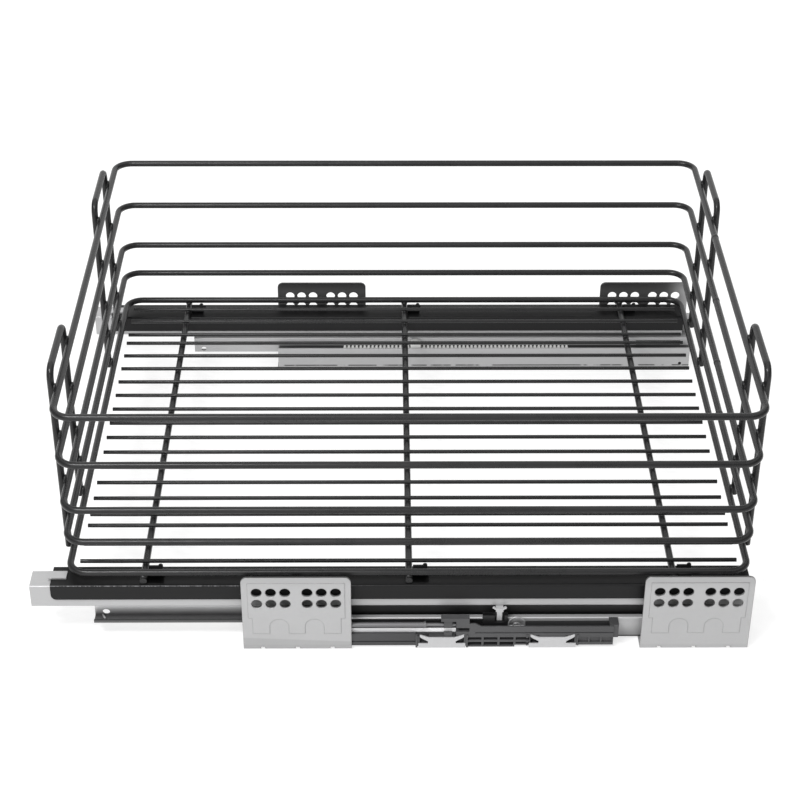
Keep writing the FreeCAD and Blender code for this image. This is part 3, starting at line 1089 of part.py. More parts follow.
def build_catch(tag, side, cabinet_front):
    """The catch, its hook and the damper's cylinder, which slide together, and the activator that moves them."""
    floor = "(floor_height + catch_play)"
    activator = f"({cabinet_front} + activator_place)"
    front = f"({activator} - catch_lead)"
    end = f"({front} + catch_length)"
    solid = block(f"catch_block_{tag}", side, front, end, CATCH_IN, CATCH_OUT, floor, "catch_top")
    groove = block(f"catch_groove_{tag}", side, f"{front} - catch_wall", f"{end} + catch_wall",
                   f"{CATCH_IN} + catch_wall", f"{CATCH_OUT} - catch_wall", "catch_groove_floor",
                   "catch_top + catch_wall")
    window = block(f"catch_window_{tag}", side, f"{activator} - catch_window/2", f"{activator} + catch_window/2",
                   f"{CATCH_IN} + catch_wall", f"{CATCH_OUT} + catch_wall", "catch_groove_floor",
                   "catch_top + catch_wall")
    grooved = cut(f"catch_cut_{tag}", solid, [groove, window])
    build_hook(tag, side, end, floor)

    damper_front = f"({cabinet_front} + damper_front)"
    link = block(f"link_bar_{tag}", side, f"{damper_front} - link_lug", front, CATCH_IN, f"{CATCH_IN} + link_sheet",
                 floor, "link_top")
    lug = block(f"link_lug_{tag}", side, f"{damper_front} - link_lug", damper_front, CATCH_IN,
                f"{DAMPER_AXIS} + damper/2", floor, "link_top")
    keep(fuse(f"catch_whole_{tag}", [grooved, link, lug]), f"catch_{tag}")

    shell = rod(f"cylinder_{tag}", "x", damper_front, f"{side}*{DAMPER_AXIS}", "damper_height", "damper",
                "damper_length")
    collar = rod(f"collar_{tag}", "x", f"{damper_front} + damper_length - damper_collar_length",
                 f"{side}*{DAMPER_AXIS}", "damper_height", "damper_collar", "damper_collar_length")
    bore = rod(f"cylinder_bore_{tag}", "x", f"{damper_front} + link_lug", f"{side}*{DAMPER_AXIS}", "damper_height",
               "damper_rod + 2*rivet_play", "damper_length")
    keep(cut(f"damper_cylinder_cut_{tag}", fuse(f"cylinder_whole_{tag}", [shell, collar]), [bore]),
         f"damper_cylinder_{tag}")

    stem_out = f"({STEM_IN} + activator_sheet)"
    tongue = block(f"activator_tongue_{tag}", side, f"{activator} - activator_body/2",
                   f"{activator} + activator_body/2", f"{DRAWER_OUT} - drawer_lip", stem_out,
                   f"{DRAWER_FOOT} - activator_sheet", DRAWER_FOOT)
    stem = doc.addObject("PartDesign::Body", f"activator_stem_{tag}")
    neck = f"({DRAWER_FOOT} - activator_neck)"
    ear_top = f"({DRAWER_FOOT} + activator_ear)"
    half = [
        ("activator_stem/2", "activator_foot"), ("activator_stem/2", neck), ("activator_body/2", neck),
        ("activator_body/2", f"{DRAWER_FOOT} - activator_sheet"),
        ("activator_width/2", f"{ear_top} - activator_sheet"), ("activator_width/2 - activator_sheet", ear_top),
        ("activator_body/2 - activator_sheet/2", DRAWER_FOOT),
    ]
    sketch = sketch_on(stem, "XZ_Plane", f"activator_outline_{tag}")
    draw_loop(sketch, half + [(f"-({x})", z) for x, z in reversed(half)])
    pad = stem.newObject("PartDesign::Pad", f"activator_run_{tag}")
    pad.Profile = sketch
    pad.setExpression("Length", bound("activator_sheet"))
    stem.setExpression("Placement.Base.x", bound(activator))
    stem.setExpression("Placement.Base.y", bound(f"-{STEM_IN}" if side < 0 else stem_out))
    keep(fuse(f"activator_whole_{tag}", [tongue, stem]), f"activator_{tag}")


def arch(name, x, y, z, radius, wire):
    """Half a wire ring that stands upright along the slide."""
    piece = doc.addObject("Part::Torus", name)
    piece.setExpression("Radius1", bound(radius))
    piece.setExpression("Radius2", bound(f"{wire}/2"))
    piece.Angle3 = 180
    piece.Placement = FreeCAD.Placement(FreeCAD.Vector(), FreeCAD.Rotation(FreeCAD.Vector(1, 0, 0), 90))
    place(piece, x, y, z)
    return piece


def build_hook(tag, side, start, floor):
    """The wire hook behind the catch, with its inner loop."""
    middle = f"({start} + catch_hook + catch_hook_wire/2)"
    y = f"{side}*({CATCH_OUT} - catch_hook_wire/2)"
    top = f"({floor} + catch_hook_rise)"
    foot = f"({top} - catch_hook_leg)"
    parts = [arch(f"hook_arch_{tag}", middle, y, top, "catch_hook", "catch_hook_wire")]
    for step in (-1, 1):
        parts.append(rod(f"hook_leg_{tag}_{step + 1}", "z", f"{middle} + {step}*catch_hook", y,
                         f"{foot} - catch_hook_wire/2", "catch_hook_wire", "catch_hook_leg + catch_hook_wire/2"))
    parts.append(rod(f"hook_bar_{tag}", "x", f"{middle} - catch_hook", y, foot, "catch_hook_bar", "2*catch_hook"))
    parts.append(arch(f"hook_loop_{tag}", middle, y, foot, "catch_loop", "catch_loop_wire"))
    keep(fuse(f"hook_whole_{tag}", parts), f"catch_hook_{tag}")


for tag, side, cabinet_front, middle_back in (
    ("near", -1, NEAR_FRONT, f"({FAR_BACK} - near_middle_lead)"),
    ("far", 1, FAR_FRONT, FAR_BACK),
):
    build_rails(tag, side, cabinet_front, middle_back)
    build_cover(tag, side)
    build_bracket(f"front_bracket_{tag}", side, f"({cabinet_front} - bracket_lead)")
    build_bracket(f"back_bracket_{tag}", side, f"({cabinet_front} + cabinet_rail_length - bracket_width)")
    build_rivets(tag, side, cabinet_front)
    build_rack(tag, side, cabinet_front)
    build_lower_rollers(tag, side)
    build_upper_rollers(tag, side)
    build_housing(tag, side, cabinet_front)
    build_catch(tag, side, cabinet_front)

doc.recompute()

# Checks and export

for item in doc.Objects:
    if "Invalid" in item.State or "Error" in item.State:
        raise RuntimeError(f"{item.Label} failed: {item.State}")

for piece, label, solids in PIECES:
    shape = piece.Shape
    if shape.isNull() or not shape.isValid():
        raise RuntimeError(f"{label} has no valid shape")
    if len(shape.Solids) != solids:
        raise RuntimeError(f"{label} is {len(shape.Solids)} solids, not {solids}")

os.makedirs("parts", exist_ok=True)
for piece, label, solids in PIECES:
    piece.Shape.exportStep(f"parts/{label}.step")
print(f"{len(PIECES)} sub-parts written")
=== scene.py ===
import math
import random

import bmesh
import bpy
from bpy.props import FloatProperty, FloatVectorProperty, IntProperty, PointerProperty
from bpy.types import Operator, Panel, PropertyGroup
from mathutils import Matrix, Vector


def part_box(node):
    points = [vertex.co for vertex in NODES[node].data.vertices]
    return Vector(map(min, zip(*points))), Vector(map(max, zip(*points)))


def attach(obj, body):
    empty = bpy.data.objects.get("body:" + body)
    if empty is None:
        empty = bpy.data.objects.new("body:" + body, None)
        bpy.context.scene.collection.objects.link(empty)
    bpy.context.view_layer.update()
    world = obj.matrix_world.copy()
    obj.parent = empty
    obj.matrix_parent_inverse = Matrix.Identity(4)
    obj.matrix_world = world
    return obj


bl_info = {
    "name": "Pull-out wire basket",
    "version": (1, 0, 0),
    "blender": (4, 5, 0),
    "location": "3D View > Sidebar > Basket",
    "description": "Dresses a wire basket on two soft-closing slides and sets its studio",
    "category": "Object",
}

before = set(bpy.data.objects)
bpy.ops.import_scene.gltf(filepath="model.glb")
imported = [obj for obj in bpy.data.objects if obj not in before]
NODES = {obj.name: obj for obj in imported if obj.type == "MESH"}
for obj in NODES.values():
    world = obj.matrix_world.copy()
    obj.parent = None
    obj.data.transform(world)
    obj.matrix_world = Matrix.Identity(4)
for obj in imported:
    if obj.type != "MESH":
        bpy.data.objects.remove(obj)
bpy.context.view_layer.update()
SIDES = {"near": -1, "far": 1}
RINGS = ("bottom_ring", "lower_ring", "middle_ring", "upper_ring", "top_ring")
LOOPS = tuple(f"{end}_{side}_loop" for end in ("front", "back") for side in SIDES)
CROSS_WIRES = ("front_cross_wire", "middle_cross_wire", "back_cross_wire")
WHITE = (1.0, 1.0, 1.0, 1.0)
SOFT_EDGE = 0.0002


# Shader maths

class Value:
    """A number that changes over a surface."""

    def __init__(self, paint, socket):
        self.paint = paint
        self.socket = socket

    def maths(self, operation, *others):
        """This value and others through one Math node."""
        values = {index + 1: other for index, other in enumerate(others)}
        return self.paint.node("ShaderNodeMath", {"operation": operation}, {0: self, **values})

    def __add__(self, other):
        return self.maths("ADD", other)

    def __sub__(self, other):
        return self.maths("SUBTRACT", other)

    def __rsub__(self, other):
        return self.paint.node("ShaderNodeMath", {"operation": "SUBTRACT"}, {0: other, 1: self})

    def __abs__(self):
        return self.maths("ABSOLUTE")

    def __mul__(self, other):
        return self.maths("MULTIPLY", other)

    __radd__ = __add__
    __rmul__ = __mul__

    def between(self, low, high):
        """0 below low, 1 above high and a smooth step between them."""
        settings = {"interpolation_type": "SMOOTHSTEP"}
        inputs = {"Value": self, "From Min": low, "From Max": high}
        return self.paint.node("ShaderNodeMapRange", settings, inputs)


class Paint:
    """A material with one Principled shader."""

    low_socket = 6
    high_socket = 7
    mixed_socket = 2
    darkest = 0.1
    dark_metal = 0.5
    sharp_cosine = 0.7
    flat_cosine = 0.99

    def __init__(self, name):
        self.material = bpy.data.materials.new(name)
        self.material.use_nodes = True
        self.tree = self.material.node_tree
        self.shader = self.tree.nodes["Principled BSDF"]
        self.place = self.node("ShaderNodeTexCoord", {}, {}, "Object")
        self.x, self.y, self.z = (self.part_of_place(axis) for axis in "XYZ")
        self.aside = abs(self.y)

    def node(self, kind, settings, inputs, output=0):
        """A node of a type, its settings, its sockets' values or links, and the socket that is read."""
        made = self.tree.nodes.new(kind)
        for name, setting in settings.items():
            setattr(made, name, setting)
        for name, value in inputs.items():
            self.feed(made.inputs[name], value)
        return Value(self, made.outputs[output])

    def feed(self, socket, value):
        """Link a changing value to a socket, or set a plain one on it."""
        if isinstance(value, Value):
            self.tree.links.new(value.socket, socket)
        else:
            socket.default_value = value

    def part_of_place(self, axis):
        """One coordinate of the place on the piece, in metres."""
        return self.node("ShaderNodeSeparateXYZ", {}, {"Vector": self.place}, axis)

    def stretched(self, x, y, z):
        """The place on the piece with each axis scaled."""
        return self.node("ShaderNodeMapping", {}, {"Vector": self.place, "Scale": (x, y, z)})

    def noise(self, scale, detail=2.0, roughness=0.5, place=None):
        """Noise from 0 to 1, at so many grains a metre."""
        inputs = {"Vector": place or self.place, "Scale": scale, "Detail": detail, "Roughness": roughness}
        return self.node("ShaderNodeTexNoise", {"noise_dimensions": "3D"}, inputs)

    def cells(self, scale):
        """Flat-toned cells, at so many a metre."""
        inputs = {"Vector": self.place, "Scale": scale}
        made = self.node("ShaderNodeTexVoronoi", {"feature": "F1"}, inputs, "Color")
        return self.node("ShaderNodeSeparateColor", {}, {"Color": made})

    def mix(self, mask, low, high, way="MIX"):
        """One colour laid over another where the mask is 1."""
        settings = {"data_type": "RGBA", "blend_type": way}
        inputs = {"Factor": mask, self.low_socket: opaque(low), self.high_socket: opaque(high)}
        return self.node("ShaderNodeMix", settings, inputs, self.mixed_socket)

    def spotted(self, tone, metal, spots):
        """The colour times each spot's factor where its mask is 1; on metal the darkest spots lose gloss."""
        for mask, factor in spots(self) if spots else ():
            tone = self.mix(mask, tone, (factor, factor, factor), "MULTIPLY")
            if metal and factor < self.darkest:
                metal = mask * self.dark_metal + metal
        return tone, metal

    def above(self, axis, edge, soft=SOFT_EDGE):
        """1 where a coordinate is past an edge, 0 before it."""
        return axis.between(edge - soft, edge + soft)

    def below(self, axis, edge, soft=SOFT_EDGE):
        """1 where a coordinate is before an edge, 0 past it."""
        return 1.0 - self.above(axis, edge, soft)

    def band(self, axis, low, high):
        """1 where a coordinate lies between two edges, 0 outside them."""
        return self.above(axis, low) * self.below(axis, high)

    def rounded(self, radius):
        """Normals that round the sheet's edges by so many metres."""
        return self.node("ShaderNodeBevel", {"samples": 6}, {"Radius": radius}, "Normal")

    def edges(self, radius):
        """1 on the sheet's sharp edges and embossed lines, 0 on its flats."""
        flat = self.node("ShaderNodeNewGeometry", {}, {}, "True Normal")
        inputs = {0: self.rounded(radius), 1: flat}
        agreement = self.node("ShaderNodeVectorMath", {"operation": "DOT_PRODUCT"}, inputs, "Value")
        return 1.0 - agreement.between(self.sharp_cosine, self.flat_cosine)

    def bump(self, height, depth, strength, rounding=0.0):
        """A normal from a height of 0 to 1, over so many metres, on edges rounded by so many metres."""
        inputs = {"Height": height, "Distance": depth, "Strength": strength}
        if rounding:
            inputs["Normal"] = self.rounded(rounding)
        return self.node("ShaderNodeBump", {}, inputs, "Normal")

    def finish(self, colour, roughness, metallic=0.0, normal=None, **plain):
        """Feed the shader and give back the material."""
        self.feed(self.shader.inputs["Base Color"], colour)
        self.feed(self.shader.inputs["Roughness"], roughness)
        self.feed(self.shader.inputs["Metallic"], metallic)
        if normal:
            self.feed(self.shader.inputs["Normal"], normal)
        for name, value in plain.items():
            self.shader.inputs[name.replace("_", " ")].default_value = value
        return self.material


def opaque(tone):
    """A plain colour with its alpha, or a changing one as it is."""
    return tone if isinstance(tone, Value) else (*tone, 1.0)


def shade(colour, factor):
    """A darker or lighter tone of a colour."""
    return tuple(min(1.0, part * factor) for part in colour)


# Materials

def powder_coat(name, colour, rough, along=(1, 1, 1), shine=0.36, spots=None):
    """Satin black powder coat with a fine orange peel, faint cloudiness and specks of dust."""
    paint = Paint(name)
    peel = paint.noise(1700, detail=2.0, roughness=0.55)
    cloud = paint.noise(22, detail=3.0, roughness=0.6, place=paint.stretched(*along))
    dust = paint.noise(900, detail=1.0).between(0.62, 0.78)
    tone = paint.mix(cloud.between(0.3, 0.7), shade(colour, 0.85), shade(colour, 1.18))
    tone = paint.mix(dust * 0.3, tone, shade(colour, 2.2))
    tone, _ = paint.spotted(tone, 0.0, spots)
    roughness = cloud * 0.1 + peel * 0.08 + (rough - 0.05)
    peeled = paint.bump(peel, depth=0.00006, strength=0.7)
    return paint.finish(tone, roughness, normal=peeled, Specular_IOR_Level=shine)


def galvanised(name, colour, rough, streak=(0.06, 1, 1), metal=0.4, spots=None, rounding=0.0):
    """Zinc-plated sheet with rolling streaks, faint spangle and small dull patches."""
    paint = Paint(name)
    streaks = paint.noise(520, detail=3.0, roughness=0.6, place=paint.stretched(*streak))
    spangle = paint.cells(420)
    patches = paint.noise(38, detail=4.0, roughness=0.6)
    tone = paint.mix(streaks * 0.5 + spangle * 0.2, shade(colour, 0.95), shade(colour, 1.05))
    tone = paint.mix(patches.between(0.5, 0.7) * 0.4, tone, shade(colour, 0.92))
    tone, metal = paint.spotted(tone, metal, spots)
    roughness = streaks * 0.06 + spangle * 0.03 + patches * 0.06 + (rough - 0.07)
    rolled = paint.bump(streaks, depth=0.00001, strength=0.2, rounding=rounding)
    return paint.finish(tone, roughness, metal, rolled)


def bright_steel(name, colour, rough, grain=(1, 1, 0.05), metal=1.0, rounding=0.0, spots=None):
    """Bright steel with a fine drawn grain."""
    paint = Paint(name)
    drawn = paint.noise(1500, detail=2.0, roughness=0.6, place=paint.stretched(*grain))
    smudge = paint.noise(60, detail=3.0, roughness=0.6)
    tone = paint.mix(drawn * 0.7 + smudge * 0.3, shade(colour, 0.95), shade(colour, 1.03))
    tone, metal = paint.spotted(tone, metal, spots)
    roughness = drawn * 0.08 + smudge * 0.08 + (rough - 0.08)
    grained = paint.bump(drawn, depth=0.00001, strength=0.12, rounding=rounding)
    return paint.finish(tone, roughness, metal, grained)


def moulded(name, colour, rough, spread=1.25, rounding=0.0):
    """Injection-moulded plastic with a fine spark-eroded texture."""
    paint = Paint(name)
    grain = paint.noise(2600, detail=2.0, roughness=0.6)
    flow = paint.noise(34, detail=3.0, roughness=0.6, place=paint.stretched(0.4, 1, 1))
    cloud = flow.between(0.3, 0.7) * 0.6 + grain * 0.3
    tone = paint.mix(cloud, shade(colour, 1 / spread), shade(colour, spread))
    roughness = grain * 0.12 + flow * 0.08 + (rough - 0.1)
    eroded = paint.bump(grain, depth=0.00005, strength=0.6, rounding=rounding)
    return paint.finish(tone, roughness, normal=eroded, Specular_IOR_Level=0.45)


# Pieces

def coat(material, *names):
    """Give CAD nodes a material."""
    for name in names:
        mesh = NODES[name].data
        mesh.materials.clear()
        mesh.materials.append(material)


def coat_sides(material, *kinds):
    """Give the near and the far node of each kind a material."""
    coat(material, *(f"{kind}_{side}" for kind in kinds for side in SIDES))


def placed(name, mesh, material):
    """A new object from a bmesh, with its material."""
    data = bpy.data.meshes.new(name)
    mesh.to_mesh(data)
    mesh.free()
    data.materials.append(material)
    made = bpy.data.objects.new(name, data)
    bpy.context.scene.collection.objects.link(made)
    return made


def piece(name, mesh, material, body):
    """A new smooth piece from a bmesh, with its material and body."""
    bmesh.ops.recalc_face_normals(mesh, faces=mesh.faces)
    made = placed(name, mesh, material)
    for face in made.data.polygons:
        face.use_smooth = True
    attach(made, body)


def soften(mesh, edges, width):
    """Round edges of a bmesh."""
    bmesh.ops.bevel(mesh, geom=list(edges), offset=width, segments=2, affect="EDGES", profile=0.5,
                    material=-1)


def middle(name):
    """The middle of a node's box."""
    low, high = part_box(name)
    return (Vector(low) + Vector(high)) / 2


# Sizes and colours

def length(name, text, default):
    """A length in metres."""
    return FloatProperty(name=name, description=text, default=default, unit="LENGTH", precision=5)


def lengths(name, text, default, subtype="NONE"):
    """Three lengths in metres."""
    return FloatVectorProperty(name=name, description=text, default=default, subtype=subtype, unit="LENGTH",
                               precision=5)


def colour(name, text, default):
    """A linear colour."""
    return FloatVectorProperty(name=name, description=text, default=default, subtype="COLOR", min=0, max=1)


def number(name, text, default, unit="NONE"):
    """A plain number."""
    return FloatProperty(name=name, description=text, default=default, unit=unit)


def whole(name, text, default):
    """A whole number."""
    return IntProperty(name=name, description=text, default=default)


def degrees(name, text, default):
    """An angle, given in degrees and kept in radians."""
    angle = math.radians(default)
    return FloatProperty(name=name, description=text, default=angle, unit="ROTATION", precision=5)


class WireSizes(PropertyGroup):
    """The wires' coat and the welds between them"""

    coat_colour: colour("Coat", "Colour of the wires' powder coat", (0.013, 0.013, 0.0134))
    leg_weld: length("Leg weld", "Radius of the welds where a loop crosses a ring", 0.0029)
    floor_weld: length("Floor weld", "Radius of the welds where a floor wire crosses a cross wire", 0.0019)
    floor_pitch: length("Floor pitch", "From one floor wire to the next over most of the floor", 0.02)
    floor_steps: whole("Floor steps", "Even steps on each side of the middle floor wire", 6)
    floor_sides: lengths("Floor sides", "Places of a side's outer floor wires", (0.1335, 0.1555, 0.1755))
    butt_length: length("Butt weld", "Length of the bead that closes each ring", 0.0034)
    butt_step: length("Butt step", "How far the beads of two neighbouring rings stand apart", 0.03)
    butt_rise: number("Butt rise", "Height of the bead as a part of the wire's radius", 0.09)
    seed: whole("Seed", "Seed of the welds' unevenness", 5)


class LugSizes(PropertyGroup):
    """The stop lugs in the middle rails' tracks"""

    inset: length("Inset", "From a middle rail's front end to its stop lug", 0.0065)
    aside: length("Aside", "From the middle plane to a stop lug", 0.1883)
    height: length("Height", "Middle height of a stop lug", 0.0158)
    thickness: length("Thickness", "Thickness of a stop lug", 0.0012)
    width: length("Width", "Width of a stop lug", 0.0054)
    rise: length("Rise", "How far a stop lug stands up", 0.0016)
    softness: length("Softness", "Rounding of a stop lug's edges", 0.0003)
    turn: degrees("Turn", "Turn of a stop lug about its upright axis", -25)


class SlideFinish(PropertyGroup):
    """Colours of the slides' finishes, and how round their edges look"""

    zinc_colour: colour("Zinc", "Colour of the rails", (0.435, 0.435, 0.439))
    bracket_colour: colour("Brackets", "Colour of the brackets", (0.43, 0.43, 0.433))
    cover_colour: colour("Covers", "Colour of the covers' powder coat", (0.008, 0.008, 0.0084))
    steel_colour: colour("Steel", "Colour of the rivets, rollers, springs and strips", (0.78, 0.78, 0.79))
    clip_colour: colour("Clips", "Colour of the unit clips and activators", (0.4992, 0.4992, 0.5056))
    hook_colour: colour("Hooks", "Colour of the catch hooks", (0.39, 0.39, 0.395))
    tube_colour: colour("Tube", "Colour of the damper's cylinder", (0.155, 0.155, 0.16))
    housing_colour: colour("Housing", "Colour of the soft-close housing", (0.056, 0.056, 0.058))
    tray_colour: colour("Tray", "Colour of the damper's tray", (0.04, 0.04, 0.042))
    catch_colour: colour("Catch", "Colour of the catch and the spring cover", (0.010, 0.010, 0.0105))
    pale_colour: colour("Pale plastic", "Colour of the rack and the roller cages", (0.62, 0.62, 0.61))
    bracket_rounding: length("Bracket rounding", "Radius that the light sees on a bracket's edges", 0.0012)
    housing_rounding: length("Housing rounding", "Radius that the light sees on a housing's edges", 0.0004)
    clip_rounding: length("Clip rounding", "Radius that the light sees on the clips and hooks", 0.0003)
    # Painted shade on the cylinder's underside.
    tube_shade_full: length("Tube dirty", "Height from the cylinder's axis where its dirt is full", -0.0026)
    tube_shade_end: length("Tube clean", "Height from the cylinder's axis where its dirt ends", 0.0004)


class RailMarks(PropertyGroup):
    """Where painted shade and painted highlights lie on the rails"""

    # Painted shade: the drawer rail's top is painted black under the cover.
    under_cover_shade_start: length("Covered start", "From a cover's front end to the black under it", 0.004)
    under_cover_shade_low: length("Covered low", "Lowest height of the black on the drawer rail's top", 0.0479)
    under_cover_shade_high: length("Covered high", "Highest height of the black on the drawer rail's top", 0.0486)
    web_side: length("Web side", "From the middle plane to the middle rail's web", 0.1850)
    lip_side: length("Lip side", "From the middle plane to the middle rail's lip", 0.1922)
    box_side: length("Box side", "From the middle plane to the outside of the middle rail's box", 0.1839)
    # Painted shade over the middle rail's track, deeper towards the back.
    track_floor: length("Track floor", "Height where the grease in the track starts", 0.0148)
    ledge_top: length("Ledge top", "Height of the middle rail's ledge", 0.0153)
    web_shade_full: length("Film full", "Height below which the web's film of grease is full", 0.0144)
    web_shade_end: length("Film end", "Height above which the web has no film", 0.0208)
    web_shade_ripple: length("Film ripple", "How far the film's edge wanders", 0.0012)
    deep_shade_start: length("Thick start", "Where the grease starts to thicken along the slide", -0.085)
    deep_shade_end: length("Thick end", "Where the grease is at its thickest along the slide", -0.055)
    deep_shade_top: length("Thick top", "Height of the thick grease", 0.030)
    deep_shade_softness: length("Thick softness", "Half width of the thick grease's upper edge", 0.0006)
    # A painted highlight on the upper web, towards the front.
    web_highlight_start: length("Bare start", "Height where the web starts to be bare and bright", 0.0190)
    web_highlight_full: length("Bare full", "Height where the web is quite bare", 0.0232)
    web_highlight_softness: length("Bare softness", "Half width of the bare stretch's end along the slide", 0.015)
    # Painted shade on the middle rail's lip, darker towards its top.
    lip_bright: length("Lip bright", "Height where the lip starts to darken", 0.0138)
    lip_dark: length("Lip dark", "Height where the lip is darkest", 0.0172)
    shade_top: length("Shade top", "Top of the shade on the box's inner face", 0.0206)
    shade_start: length("Shade start", "Where the box's shade starts along the slide", -0.1000)
    shade_softness: length("Shade softness", "Half width of the shade's front edge", 0.001)
    # Painted shade: a dark slot painted on the box's inner face.
    slot_start: length("Slot start", "Where the dark slot starts along the slide", 0.2119)
    slot_end: length("Slot end", "Where the dark slot ends along the slide", 0.2505)
    slot_top: length("Slot top", "Top of the dark slot", 0.0252)
    wall_side: length("Wall side", "From the middle plane to the cabinet rail's outer wall", 0.1944)
    # Painted shadow along the outer wall's foot, painted shade low on that wall, and a painted highlight on
    # its rim.
    foot_top: length("Foot top", "Top of the dirt along the outer wall's foot", 0.0034)
    foot_softness: length("Foot softness", "Half width of that dirt's upper edge", 0.0004)
    darkest_height: length("Dull full", "Height below which the outer wall is dullest", 0.002)
    wall_shade_end: length("Dull end", "Height above which the outer wall isn't dull", 0.0150)
    rim_highlight_low: length("Rim low", "Foot of the bright rim on the outer wall", 0.0185)
    # Painted shade in the inner wall's seam, broken along the slide.
    seam_side: length("Seam side", "From the middle plane to the cabinet rail's inner wall", 0.1675)
    seam_low: length("Seam low", "Foot of the dirty seam in the inner wall", 0.0036)
    seam_high: length("Seam high", "Top of the dirty seam in the inner wall", 0.0048)
    channel_inside: length("Channel inside", "From the middle plane to the cabinet rail's channel", 0.1686)
    channel_outside: length("Channel outside", "From the middle plane to the channel's far side", 0.1936)
    channel_top: length("Channel top", "Height of the shade in the cabinet rail's channel", 0.0176)


class CoverMarks(PropertyGroup):
    """Where the covers carry painted shade and a painted highlight"""

    # Painted shade on the flat top; a painted highlight along the outer bend.
    top_low: length("Top low", "Lowest height of a cover's flat top", 0.0493)
    top_high: length("Top high", "Highest height of a cover's flat top", 0.0500)
    bend_side: length("Bend side", "From the middle plane to a cover's outer bend", 0.1951)
    bend_low: length("Bend low", "Foot of a cover's outer bend", 0.0488)
    painted_highlight_full: length("Worn full", "Up to where the bend is worn bright along the slide", -0.16)
    painted_highlight_end: length("Worn end", "Where the bright wear ends along the slide", 0.02)


class BracketMarks(PropertyGroup):
    """Where the brackets' cut edges and tops are darker, and where painted shade, light and edge lines lie
    on them
    """

    cut_low: length("Cut low", "Foot of the cut edge on top", 0.0649)
    # The face is darker towards its top.
    darkening_start: length("Dull start", "Height where the face starts to dull towards its top", 0.054)
    darkest_height: length("Dull full", "Height where the face is dullest", 0.065)
    # Painted shade on the foot and on a slanting band at the bend.
    foot_top: length("Foot top", "Top of the dull foot", 0.0045)
    band_top: length("Band top", "Height of the slanting band at its front end", 0.011)
    band_start: length("Band start", "Front end of the slanting band along the slide", -0.107)
    band_end: length("Band end", "Back end of the slanting band along the slide", 0.0)
    band_slope: number("Band slope", "Fall of the slanting band for each metre along the slide", 0.048)
    band_softness: length("Band softness", "Half width of the slanting band's edge", 0.0003)
    inner_side: length("Inner side", "From the middle plane to a bracket's sheet", 0.2064)
    inner_softness: length("Inner softness", "Half width of the step from inner to outer face", 0.0001)
    inner_low: length("Inner low", "Foot of the shaded inner face", 0.028)
    lit_start: length("Lit start", "Where the inner face starts to be lit along the slide", 0.236)
    lit_full: length("Lit full", "Where the inner face is fully lit along the slide", 0.262)
    # Painted shade along the embossed panel's edges on the outer face, and painted light along them on the
    # inner face.
    line_radius: length("Line radius", "Width of the lines along the embossed panel", 0.0005)
    line_top: length("Line top", "Height up to which the lines are drawn", 0.0640)


class StageSetup(PropertyGroup):
    """The floor, the lights and the camera"""

    floor_width: length("Floor", "Width of the floor", 14.0)
    floor_colour: colour("Floor colour", "Colour of the floor", (0.40, 0.40, 0.40))
    floor_glow: number("Floor glow", "Light that comes through the floor", 0.66)
    world_strength: number("Surroundings", "Strength of the surrounding light", 0.28)
    top_power: number("Top light", "Power of the softbox above", 50.0, "POWER")
    front_power: number("Front light", "Power of the softbox in front", 11.0, "POWER")
    back_power: number("Back light", "Power of the softbox behind", 34.0, "POWER")
    strip_power: number("Strip light", "Power of the strip light", 16.0, "POWER")
    lens: number("Lens", "Focal length in millimetres", 86.766, "CAMERA")
    camera_place: lengths("Camera", "Where the camera stands", (-0.0064, -1.2605, 0.9046), "TRANSLATION")
    camera_turn: degrees("Camera turn", "Turn of the camera about the upright axis", -0.48996)
    camera_drop: degrees("Camera drop", "How far the camera looks down", 33.27315)
    camera_roll: degrees("Camera roll", "Turn of the camera about its own axis", 0.18082)


# Basket

class BASKET_OT_coat_wires(Operator):
    """Coat the rings, loops, cross wires and floor wires"""

    bl_idname = "basket.coat_wires"
    bl_label = "Coat the wires"

    def execute(self, context):
        material = powder_coat("wire_coat", context.scene.basket_wire.coat_colour, rough=0.24, shine=0.3)
        coat(material, *RINGS, *LOOPS, *CROSS_WIRES, "floor_wires")
        return {"FINISHED"}


